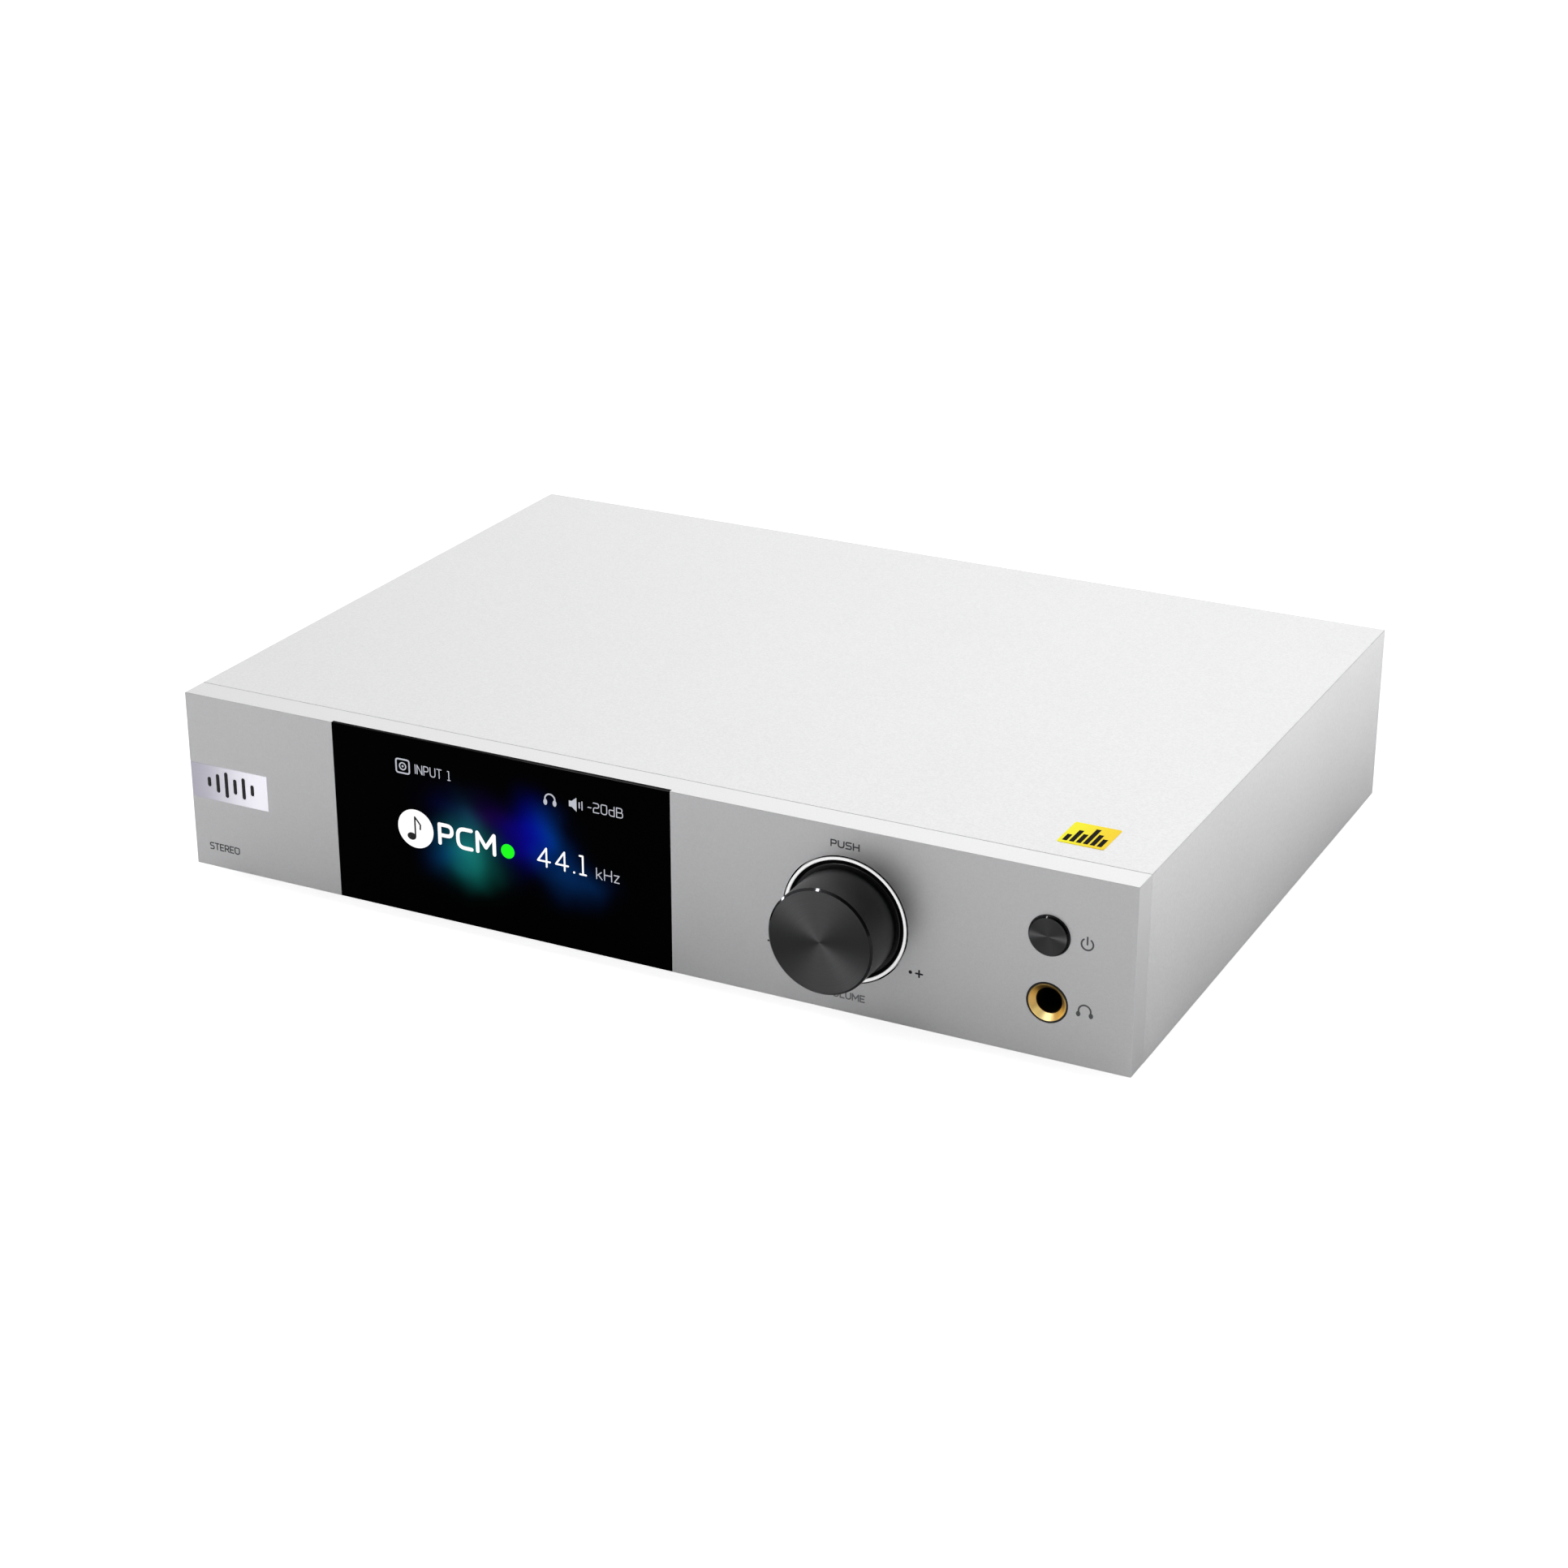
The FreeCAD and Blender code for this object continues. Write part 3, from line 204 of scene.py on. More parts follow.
def grained(name, color, rough, metallic=0.0, grain=2000.0, tint=0.04, mottle=60.0, rough_var=0.06, bump=0.1, depth=0.00002, spec=0.5, coat=0.0, detail=3.0, aniso=0.0, tangent=None):
    """Fine-grained surface: colour and roughness vary at two scales, with a matching bump."""
    g = G(name)
    fine = g.noise(grain, detail, 0.6)
    wide = g.noise(mottle, 2.0, 0.5)
    k = g.math("ADD", g.remap(fine, 0.3, 0.7, 1 - tint, 1 + tint), g.remap(wide, 0.3, 0.7, -tint * 0.4, tint * 0.4))
    col = g.vec("SCALE", (*color,), scale=k)
    r = g.math("ADD", g.remap(fine, 0.3, 0.7, rough - rough_var, rough + rough_var), g.remap(wide, 0.3, 0.7, -rough_var * 0.4, rough_var * 0.4))
    p = g.principled(Base_Color=col, Roughness=r, Metallic=metallic, Normal=g.bump(fine, bump, depth))
    p.inputs["Specular IOR Level"].default_value = spec
    p.inputs["Coat Weight"].default_value = coat
    return g.done(p)


def bead_blasted(name, color, rough, grain, tint, bump, painted_edge_shade=0.86):
    """Anodised, bead-blasted aluminium: peened dimples with a soft satin lobe."""
    g = G(name)
    c = g.coord()
    fine = g.noise(grain, 2.0, 0.55, c)
    pits = g.new("ShaderNodeTexVoronoi", feature="SMOOTH_F1")
    pits.inputs["Scale"].default_value = grain * 0.6
    pits.inputs["Smoothness"].default_value = 0.6
    g.put(pits.inputs["Vector"], c)
    wide = g.noise(25.0, 2.0, 0.5, c)
    k = g.math("ADD", g.remap(fine, 0.32, 0.68, 1 - tint, 1 + tint), g.remap(wide, 0.3, 0.7, -0.008, 0.008))
    col = g.vec("SCALE", (*color,), scale=k)
    r = g.math("ADD", g.remap(fine, 0.3, 0.7, rough + 0.04, rough - 0.04), g.remap(wide, 0.3, 0.7, -0.015, 0.015))
    h = g.math("ADD", g.math("MULTIPLY", fine, 0.6), g.math("MULTIPLY", pits.outputs["Distance"], 0.4))
    # broken edges are duller than the flats: their faces lean away from all three axes. Their colour also carries
    # painted light: darker where they lean up or down, painted shade that damps their highlight, and a little lighter
    # on upright edges, a painted highlight
    t = g.sep(g.vec("ABSOLUTE", g.new("ShaderNodeNewGeometry").outputs["True Normal"]))
    edge = g.remap(g.math("MAXIMUM", t[0], g.math("MAXIMUM", t[1], t[2])), 0.93, 0.995, 1.0, 0.0)
    upright = g.remap(t[2], 0.1, 0.3, 1.0, 0.0)
    col = g.vec("SCALE", col, scale=g.mixf(edge, 1.0, g.mixf(upright, painted_edge_shade, 1.08)))
    r = g.mixf(edge, r, g.mixf(upright, 0.85, 0.60))
    p = g.principled(Base_Color=col, Roughness=r, Metallic=1.0, Normal=g.bump(h, bump, 0.00004))
    return g.done(p)


def set_mat(node, m):
    o = N[node]
    o.data.materials.clear()
    o.data.materials.append(m)
    return o


# ------------------------------------------------------------------ materials
M = {}
M["front"] = bead_blasted("front_aluminium", (0.88, 0.88, 0.882), 0.42, 2600.0, 0.02, 0.06)
M["cover"] = bead_blasted("cover_aluminium", (0.90, 0.90, 0.902), 0.48, 1700.0, 0.03, 0.14)
M["black_plastic"] = grained("black_plastic", (0.012, 0.012, 0.013), 0.48, grain=3500, tint=0.12, bump=0.12)
M["dish"] = grained("recess_black", (0.016, 0.016, 0.017), 0.6, grain=3000, tint=0.1, bump=0.1, spec=0.2)
M["powder"] = grained("powder_coat_black", (0.018, 0.018, 0.020), 0.42, grain=1400, tint=0.18, rough_var=0.1, bump=0.35, depth=0.00005)
M["base"] = grained("base_powder_coat", (0.022, 0.022, 0.024), 0.5, grain=1200, tint=0.2, rough_var=0.1, bump=0.4, depth=0.00005)
M["rubber"] = grained("foot_rubber", (0.014, 0.014, 0.014), 0.8, grain=1800, tint=0.2, bump=0.25, spec=0.3)
M["rail"] = grained("extruded_aluminium", (0.60, 0.61, 0.63), 0.34, 1.0, grain=900, tint=0.05, bump=0.1)
M["steel"] = grained("turned_steel", (0.55, 0.55, 0.56), 0.28, 1.0, grain=2500, tint=0.06, bump=0.12)
M["zinc"] = grained("cast_zinc", (0.50, 0.51, 0.53), 0.38, 1.0, grain=1500, tint=0.08, bump=0.2)
M["screw"] = grained("black_oxide_steel", (0.035, 0.035, 0.038), 0.34, 0.9, grain=2500, tint=0.15, bump=0.15)
M["tin"] = grained("tin_plate", (0.62, 0.62, 0.64), 0.22, 1.0, grain=1800, tint=0.05, bump=0.08)
M["gold"] = grained("gold_plate", (1.0, 0.66, 0.22), 0.16, 1.0, grain=2200, tint=0.05, rough_var=0.03, bump=0.06)
M["xlr"] = grained("black_zinc_shell", (0.028, 0.028, 0.030), 0.36, 0.6, grain=1600, tint=0.15, bump=0.2)
M["white_plastic"] = grained("natural_plastic", (0.72, 0.72, 0.69), 0.42, grain=2500, tint=0.03, bump=0.08)
M["rocker"] = grained("rocker_plastic", (0.016, 0.016, 0.018), 0.40, grain=3200, tint=0.12, bump=0.12)
M["shutter"] = grained("shutter_plastic", (0.02, 0.02, 0.022), 0.45, grain=3200, tint=0.12, bump=0.12)
M["relay"] = grained("relay_case", (0.78, 0.78, 0.75), 0.35, grain=2500, tint=0.03, bump=0.06)
M["heatsink"] = grained("heatsink_aluminium", (0.42, 0.43, 0.45), 0.4, 1.0, grain=900, tint=0.08, bump=0.15)
M["ribbon"] = grained("ribbon_film", (0.80, 0.80, 0.76), 0.38, grain=2500, tint=0.03, bump=0.05)


def board_material():
    g = G("circuit_board")
    c = g.coord()
    v = g.new("ShaderNodeTexBrick")
    v.inputs["Scale"].default_value = 260.0
    v.inputs["Mortar Size"].default_value = 0.06
    v.offset = 0.35
    g.put(v.inputs["Vector"], c)
    fine = g.noise(1800.0, 2.0, 0.5, c)
    col = g.mix(v.outputs["Fac"], (0.008, 0.055, 0.022), (0.02, 0.11, 0.045))
    col = g.vec("SCALE", col, scale=g.remap(fine, 0.3, 0.7, 0.92, 1.08))
    return g.done(g.principled(Base_Color=col, Roughness=g.remap(fine, 0.3, 0.7, 0.28, 0.4), Normal=g.bump(v.outputs["Fac"], 0.3, 0.00003)))


def transformer_material():
    """Ferrite core at the ends and sides, yellow tape over the winding in the middle."""
    lo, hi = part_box("psu_transformer")
    cx, cy = (lo.x + hi.x) / 2, (lo.y + hi.y) / 2
    g = G("transformer")
    c = g.coord()
    s = g.sep(c)
    dx = g.math("ABSOLUTE", g.math("SUBTRACT", s[0], cx))
    core = g.math("GREATER_THAN", dx, 0.0099)
    wraps = g.new("ShaderNodeTexWave", bands_direction="Y")
    wraps.inputs["Scale"].default_value = 90.0
    g.put(wraps.inputs["Vector"], c)
    fine = g.noise(1500.0, 2.0, 0.5, c)
    tape = g.mix(wraps.outputs["Fac"], (0.62, 0.42, 0.03), (0.74, 0.52, 0.06))
    col = g.mix(core, tape, (0.03, 0.03, 0.032))
    col = g.vec("SCALE", col, scale=g.remap(fine, 0.3, 0.7, 0.92, 1.08))
    return g.done(g.principled(Base_Color=col, Roughness=0.45, Normal=g.bump(g.math("ADD", fine, wraps.outputs["Fac"]), 0.15, 0.00004)))


def capacitor_material(name):
    """Dark sleeve with a bare metal top."""
    g = G(name)
    c = g.coord()
    nz = g.sep(g.new("ShaderNodeNewGeometry").outputs["Normal"])[2]
    top = g.math("GREATER_THAN", nz, 0.85)
    fine = g.noise(1500.0, 2.0, 0.5, c)
    col = g.mix(top, (0.018, 0.018, 0.035), (0.68, 0.68, 0.70))
    col = g.vec("SCALE", col, scale=g.remap(fine, 0.3, 0.7, 0.94, 1.06))
    return g.done(g.principled(Base_Color=col, Metallic=top, Roughness=g.remap(fine, 0.3, 0.7, 0.24, 0.34), Normal=g.bump(fine, 0.05, 0.00002)))


def wire_material():
    """Insulated wire: colour differs by place, brown and blue for mains, red to grey for the others."""
    g = G("wire_insulation")
    c = g.coord()
    s = g.sep(c)
    cell = g.noise(14.0, 0.0, 0.0, c)
    col = g.mix(g.remap(cell, 0.42, 0.5, 0.0, 1.0), (0.30, 0.02, 0.015), (0.015, 0.03, 0.18))
    fine = g.noise(1500.0, 2.0, 0.5, c)
    col = g.vec("SCALE", col, scale=g.remap(fine, 0.3, 0.7, 0.93, 1.07))
    return g.done(g.principled(Base_Color=col, Roughness=0.35, Normal=g.bump(fine, 0.05, 0.00002)))


def funnel_material():
    """Gold-plated lead-in, with painted highlights glowing round its rim and painted shade towards its crown; the bore
    behind it is dark.
    """
    g = G("gold_lead_in")
    c = g.coord()
    s = g.sep(c)
    dx = g.math("SUBTRACT", s[0], JX)
    dz = g.math("SUBTRACT", s[2], JZ)
    r = g.math("SQRT", g.math("ADD", g.math("MULTIPLY", dx, dx), g.math("MULTIPLY", dz, dz)))
    bore = g.math("MULTIPLY", g.remap(r, 3.30 * MM, 3.45 * MM, 1.0, 0.0), g.math("GREATER_THAN", s[1], j_lo.y + 1.2 * MM))
    turn = g.noise(1.0, 2.0, 0.6, g.comb(g.math("MULTIPLY", r, 3000.0), g.math("MULTIPLY", s[1], 3000.0), 0.0))
    col = g.vec("SCALE", (1.0, 0.66, 0.22), scale=g.remap(turn, 0.3, 0.7, 0.96, 1.04))
    # painted shade: the gold darkens towards the crown of the cone, while the foot of the opening stays bright as if it
    # gathered the room light
    o = g.comb(g.math("DIVIDE", dx, r), 0.0, g.math("DIVIDE", dz, r))
    col = g.vec("SCALE", col, scale=g.remap(g.sep(o)[2], 0.1, 0.95, 1.0, 0.35, smooth=True))
    col = g.mix(bore, col, (0.010, 0.008, 0.005))
    # painted highlights: the lead-in glows in lobes round its rim, brightest at the foot, in place of reflections of
    # the room light
    glow = None
    for angle, spread, tone in ((-92.0, 0.055, (0.80, 0.70, 0.36)), (-132.0, 0.060, (0.52, 0.38, 0.13)), (-35.0, 0.090, (0.30, 0.165, 0.025)), (180.0, 0.10, (0.08, 0.045, 0.012))):
        a = g.vec("DOT_PRODUCT", o, (math.cos(math.radians(angle)), 0.0, math.sin(math.radians(angle))))
        k = g.math("POWER", 2.71828, g.math("DIVIDE", g.math("SUBTRACT", a, 1.0), spread))
        t = g.vec("SCALE", tone, scale=k)
        glow = t if glow is None else g.vec("ADD", glow, t)
    return g.done(g.principled(Base_Color=col, Metallic=g.remap(bore, 0.0, 1.0, 1.0, 0.2), Roughness=g.mixf(bore, g.remap(turn, 0.3, 0.7, 0.36, 0.40), 0.5), Specular_IOR_Level=0.2, Emission_Color=glow, Emission_Strength=g.math("MULTIPLY", g.math("LESS_THAN", s[1], j_lo.y + 1.45 * MM), g.math("SUBTRACT", 1.0, bore))))


M["funnel"] = funnel_material()
def insulator_material():
    """Cup insulators: red at the right line output, white elsewhere."""
    g = G("socket_insulator")
    c = g.coord()
    x = g.sep(c)[0]
    right = g.math("MULTIPLY", g.math("GREATER_THAN", x, fx(-12.0)), g.math("LESS_THAN", x, fx(0.0)))
    fine = g.noise(2500.0, 2.0, 0.5, c)
    col = g.mix(right, (0.72, 0.72, 0.69), (0.42, 0.012, 0.012))
    col = g.vec("SCALE", col, scale=g.remap(fine, 0.3, 0.7, 0.96, 1.04))
    return g.done(g.principled(Base_Color=col, Roughness=g.remap(fine, 0.3, 0.7, 0.36, 0.44), Normal=g.bump(fine, 0.05, 0.00002)))


M["insulator"] = insulator_material()
M["board"] = board_material()
M["transformer"] = transformer_material()
M["capacitor"] = capacitor_material("capacitor_sleeve")
M["wire"] = wire_material()


def lamp_toward(angle, reach, cx, cz, face_y):
    """Direction of a lamp whose painted highlight in circular grooves lies along angle (degrees, from +x towards +z)
    for the main camera.
    """
    e = (Vector((0.36118, YF - 0.62711, Z0 + 0.36017)) - Vector((cx, face_y, cz))).normalized()
    x, z = reach * math.cos(math.radians(angle)) - e.x, reach * math.sin(math.radians(angle)) - e.z
    v = Vector((x, -math.sqrt(max(0.02, 1.0 - x * x - z * z)), z)).normalized()
    return tuple(v), reach / (e + v).length


def spun_metal(name, cx, cz, face_y, radius, bevel, dark, lobes, side_col, side_rough, across=False, grooves=9000.0, bevel_tone=0.036):
    """Black anodised turned metal: circular tool marks on the face, a bright-cut bevel, a satin side.
    The face colour carries painted highlights: bow ties worked out from the eye and each lamp, lying along the radius
    as circular grooves would throw them, so they stay with the lamps and the eye when the piece turns.
    lobes: (angle, reach, sharpness, amount) of each lamp's painted bow tie."""
    g = G(name)
    c = g.coord()
    s = g.sep(c)
    dx = g.math("SUBTRACT", s[0], cx)
    dz = g.math("SUBTRACT", s[2], cz)
    r = g.math("SQRT", g.math("ADD", g.math("MULTIPLY", dx, dx), g.math("MULTIPLY", dz, dz)))
    depth = g.math("SUBTRACT", s[1], face_y)
    on_face = g.math("MULTIPLY", g.math("LESS_THAN", depth, 0.00002), g.math("LESS_THAN", r, radius - bevel - 0.00002))
    on_bevel = g.math("MULTIPLY", g.math("SUBTRACT", 1.0, on_face), g.math("LESS_THAN", depth, bevel + 0.00003))
    rings = g.noise(1.0, 3.0, 0.7, g.comb(g.math("MULTIPLY", r, grooves), 0.0, 0.0))
    fine = g.noise(3000.0, 2.0, 0.5, c)
    # painted highlight: half vector between the eye and each lamp, measured along the grooves, added to the face colour
    geo = g.new("ShaderNodeNewGeometry")
    w = g.sep(geo.outputs["Position"])
    o = g.sep(g.vec("NORMALIZE", g.comb(g.math("SUBTRACT", w[0], cx), 0.0, g.math("SUBTRACT", w[2], cz))))
    along = g.comb(g.math("MULTIPLY", o[2], -1.0), 0.0, o[0])
    streaks = g.noise(1.0, 2.0, 0.6, g.comb(g.math("MULTIPLY", r, 2600.0), 0.0, 0.0))
    level = dark
    for angle, reach, sharp, amount in lobes:
        lamp, flat = lamp_toward(angle, reach, cx, cz, face_y)
        half = g.vec("NORMALIZE", g.vec("ADD", geo.outputs["Incoming"], lamp))
        k = g.vec("DOT_PRODUCT", half, along)
        k = g.math("POWER", 2.71828, g.math("MULTIPLY", g.math("MULTIPLY", k, k), -sharp / (flat * flat)))
        level = g.math("ADD", level, g.math("MULTIPLY", g.math("MULTIPLY", k, g.remap(streaks, 0.3, 0.7, 0.92, 1.08)), amount))
    # face, its colour carrying the painted bow ties
    tangent = g.new("ShaderNodeTangent", direction_type="RADIAL", axis="Y").outputs[0]
    fcol = g.vec("SCALE", (1.0, 1.0, 1.02), scale=g.math("MULTIPLY", level, g.remap(rings, 0.25, 0.75, 0.86, 1.14)))
    face = g.principled(Base_Color=fcol, Metallic=1.0, Roughness=g.remap(rings, 0.25, 0.75, 0.34, 0.42), Anisotropic=0.6, Anisotropic_Rotation=0.0 if across else 0.25, Tangent=tangent, Normal=g.bump(rings, 0.05, 0.00001))
    side = g.principled(Base_Color=g.vec("SCALE", (*side_col,), scale=g.remap(fine, 0.3, 0.7, 0.93, 1.07)), Metallic=1.0, Roughness=side_rough, Normal=g.bump(fine, 0.06, 0.00002))
    bev = g.principled(Base_Color=(bevel_tone, bevel_tone, bevel_tone * 1.05), Metallic=1.0, Roughness=g.remap(fine, 0.3, 0.7, 0.07, 0.10))
    m1 = g.new("ShaderNodeMixShader")
    g.put(m1.inputs[0], on_bevel)
    g.t.links.new(side.outputs[0], m1.inputs[1])
    g.t.links.new(bev.outputs[0], m1.inputs[2])
    m2 = g.new("ShaderNodeMixShader")
    g.put(m2.inputs[0], on_face)
    g.t.links.new(m1.outputs[0], m2.inputs[1])
    g.t.links.new(face.outputs[0], m2.inputs[2])
    return g.done(m2.outputs[0])


KR = 13.95 * MM
BR = 5.2 * MM
# lobes of the painted bow-tie highlights on the knob and button faces
M["knob"] = spun_metal("knob_black_anodised", KX, KZ, KFACE, KR, 0.00055, 0.031, [(136.0, 0.75, 4.0, 0.102), (80.3, 0.80, 2.0, 0.082)], (0.058, 0.058, 0.060), 0.42)
M["button"] = spun_metal("button_black_anodised", BX, BZ, b_lo.y, BR, 0.0004, 0.057, [(0.9, 0.90, 26.0, 0.115), (103.3, 0.80, 2.0, 0.024)], (0.05, 0.05, 0.052), 0.4, across=True, bevel_tone=0.011)


def glass_material():
    """Black lens. The lit picture area glows through it as soft coloured clouds."""
    g = G("display_lens")
    c = g.coord()
    s = g.sep(c)
    warp = g.new("ShaderNodeTexNoise")
    g.put(warp.inputs["Vector"], c)
    warp.inputs["Scale"].default_value = 110.0
    warp.inputs["Detail"].default_value = 0.5
    off = g.vec("SCALE", g.vec("SUBTRACT", warp.outputs["Color"], (0.5, 0.5, 0.5)), scale=0.006)
    q = g.sep(g.vec("ADD", c, off))
    total = None
    # x mm, z mm, spread along x and z in mm, colour as shown
    for x, z, sx, sz, col in (
        (-47.5, 20.5, 4.4, 3.9, (22, 122, 116)),
        (-48.5, 28.5, 3.2, 4.0, (12, 62, 76)),
        (-46.0, 15.5, 4.2, 2.6, (4, 56, 50)),
        (-54.5, 19.5, 3.6, 3.6, (0, 34, 86)),
        (-54.0, 32.5, 4.4, 3.2, (2, 2, 40)),
        (-41.5, 32.0, 4.8, 3.2, (22, 0, 58)),
        (-33.5, 26.0, 3.8, 4.2, (8, 0, 96)),
        (-28.8, 30.5, 3.4, 4.6, (0, 6, 140)),
        (-24.2, 30.0, 2.8, 4.2, (0, 46, 104)),
        (-20.5, 23.5, 4.2, 4.2, (0, 30, 76)),
        (-15.5, 18.8, 4.6, 3.0, (2, 36, 80)),
    ):
        dx = g.math("DIVIDE", g.math("SUBTRACT", q[0], fx(x)), sx * MM)
        dz = g.math("DIVIDE", g.math("SUBTRACT", q[2], fz(z)), sz * MM)
        e = g.math("POWER", 2.71828, g.math("MULTIPLY", g.math("ADD", g.math("MULTIPLY", dx, dx), g.math("MULTIPLY", dz, dz)), -0.5))
        v = g.vec("SCALE", (*lin(*col),), scale=g.math("MULTIPLY", e, 0.78))
        total = v if total is None else g.vec("ADD", total, v)
    front = g.math("LESS_THAN", s[1], g_lo.y + 0.0001)
    fine = g.noise(900.0, 1.0, 0.5, c)
    p = g.principled(Base_Color=(0.0004, 0.0004, 0.0005), Roughness=g.remap(fine, 0.3, 0.7, 0.03, 0.06), Emission_Color=total, Emission_Strength=front)
    p.inputs["Specular IOR Level"].default_value = 0.012
    return g.done(p)


M["glass"] = glass_material()


def badge_material():
    """Bright satin plate with very fine brushing along x; a painted sheen makes it glow more towards its right end, and
    its colour is cooler and darker at its left end.
    """
    g = G("badge_satin")
    c = g.coord()
    s = g.sep(c)
    t = g.remap(s[0], d_lo.x, d_hi.x - 0.0015, 0.0, 1.0, smooth=True)
    brush = g.noise(1.0, 2.0, 0.6, g.comb(g.math("MULTIPLY", s[0], 120.0), g.math("MULTIPLY", s[1], 120.0), g.math("MULTIPLY", s[2], 6000.0)))
    # painted sheen: colour lighter and warmer towards the right end, where the plate also glows more
    col = g.mix(t, (0.66, 0.645, 0.75), (0.95, 0.945, 1.0))
    col = g.vec("SCALE", col, scale=g.remap(brush, 0.3, 0.7, 0.98, 1.02))
    p = g.principled(Base_Color=col, Metallic=0.6, Roughness=g.remap(brush, 0.3, 0.7, 0.32, 0.38), Normal=g.bump(brush, 0.03, 0.00001), Emission_Color=(0.93, 0.91, 1.0), Emission_Strength=g.remap(t, 0.0, 1.0, 0.10, 0.46))
    return g.done(p)


M["badge"] = badge_material()


def label_material():
    """Foil label: gold field, black bars rising from the front edge to different heights. The gold field glows faintly,
    painted light.
    """
    g = G("label_foil")
    c = g.coord()
    s = g.sep(c)
    u = g.math("DIVIDE", g.math("SUBTRACT", s[0], l_lo.x), l_hi.x - l_lo.x)
    v = g.math("DIVIDE", g.math("SUBTRACT", s[1], l_lo.y), l_hi.y - l_lo.y)
    black = None
    for k, h in enumerate((0.40, 0.66, 0.52, 0.84, 0.62, 0.46)):
        u0 = 0.075 + k * 0.147
        inside = g.math("MULTIPLY", g.math("GREATER_THAN", u, u0), g.math("LESS_THAN", u, u0 + 0.105))
        inside = g.math("MULTIPLY", inside, g.math("MULTIPLY", g.math("LESS_THAN", v, h), g.math("GREATER_THAN", v, 0.09)))
        black = inside if black is None else g.math("MAXIMUM", black, inside)
    fine = g.noise(1500.0, 2.0, 0.5, c)
    gold = g.mix(g.remap(u, 0.0, 1.0, 0.0, 1.0, smooth=True), lin(255, 248, 20), lin(255, 220, 18))
    gold = g.vec("SCALE", gold, scale=g.remap(fine, 0.3, 0.7, 0.96, 1.04))
    col = g.mix(black, gold, (0.004, 0.003, 0.002))
    # painted light: the gold field glows faintly
    return g.done(g.principled(Base_Color=col, Metallic=g.math("MULTIPLY", g.math("SUBTRACT", 1.0, black), 0.3), Roughness=g.remap(fine, 0.3, 0.7, 0.46, 0.52), Specular_IOR_Level=g.remap(black, 0.0, 1.0, 0.2, 0.03), Emission_Color=gold, Emission_Strength=g.remap(black, 0.0, 1.0, 0.20, 0.0)))


M["label"] = label_material()


def ring_material():
    """Light guide: lit on its front, its glow peaking along the middle of the front as a painted highlight of its
    rounded face; its inner and outer walls are nearly black, painted shade of the narrow groove round it.
    """
    g = G("light_ring")
    fine = g.noise(2500.0, 2.0, 0.5)
    ny = g.sep(g.new("ShaderNodeNewGeometry").outputs["True Normal"])[1]
    lit_front = g.remap(ny, -0.55, -0.35, 1.0, 0.0)
    # painted shade: the walls are nearly black, the front white
    col = g.mix(lit_front, (0.012, 0.012, 0.012), (0.80, 0.80, 0.80))
    col = g.vec("SCALE", col, scale=g.remap(fine, 0.3, 0.7, 0.97, 1.03))
    s = g.sep(g.coord())
    dx = g.math("SUBTRACT", s[0], KX)
    dz = g.math("SUBTRACT", s[2], KZ)
    r = g.math("SQRT", g.math("ADD", g.math("MULTIPLY", dx, dx), g.math("MULTIPLY", dz, dz)))
    # painted highlight: the glow peaks along the middle of the front face
    u = g.math("DIVIDE", g.math("SUBTRACT", r, 16.14 * MM), 0.44 * MM)
    glow = g.math("SUBTRACT", 0.66, g.math("MULTIPLY", g.math("MULTIPLY", u, u), 0.34))
    return g.done(g.principled(Base_Color=col, Roughness=0.35, Specular_IOR_Level=0.3, Emission_Color=(1.0, 1.0, 1.0), Emission_Strength=g.math("MULTIPLY", g.math("MULTIPLY", lit_front, glow), g.remap(fine, 0.3, 0.7, 0.96, 1.04))))


M["ring"] = ring_material()


def ink(name, color, rough=0.5):
    return grained(name, color, rough, grain=4000, tint=0.08, bump=0.05)


def lit(name, color, strength=1.0):
    """Lit pixels behind the lens, with a trace of pixel structure."""
    g = G(name)
    c = g.coord()
    px = g.noise(5000.0, 0.0, 0.0, c)
    return g.done(g.principled(Base_Color=(0.0, 0.0, 0.0), Roughness=0.3, Specular_IOR_Level=0.0, Emission_Color=(*color, 1.0), Emission_Strength=g.remap(px, 0.3, 0.7, strength * 0.96, strength * 1.04)))


M["ink_grey"] = ink("ink_grey", lin(84, 84, 86), 0.7)
M["ink_mid"] = ink("ink_mid", lin(98, 98, 100), 0.7)
M["ink_pale"] = ink("ink_pale", lin(142, 142, 144), 0.7)
M["ink_dark"] = ink("ink_dark", lin(24, 24, 26), 0.7)
M["ink_badge"] = ink("ink_badge", (0.006, 0.006, 0.008), 0.3)
M["ink_white"] = ink("ink_white", (0.62, 0.62, 0.62))
M["px_white"] = lit("pixels_white", (1.0, 1.0, 1.0), 1.1)
M["px_grey"] = lit("pixels_grey", lin(190, 192, 202), 1.0)
M["px_green"] = lit("pixels_green", lin(34, 255, 34), 1.0)
M["px_black"] = ink("pixels_off", (0.0015, 0.0015, 0.002), 0.3)

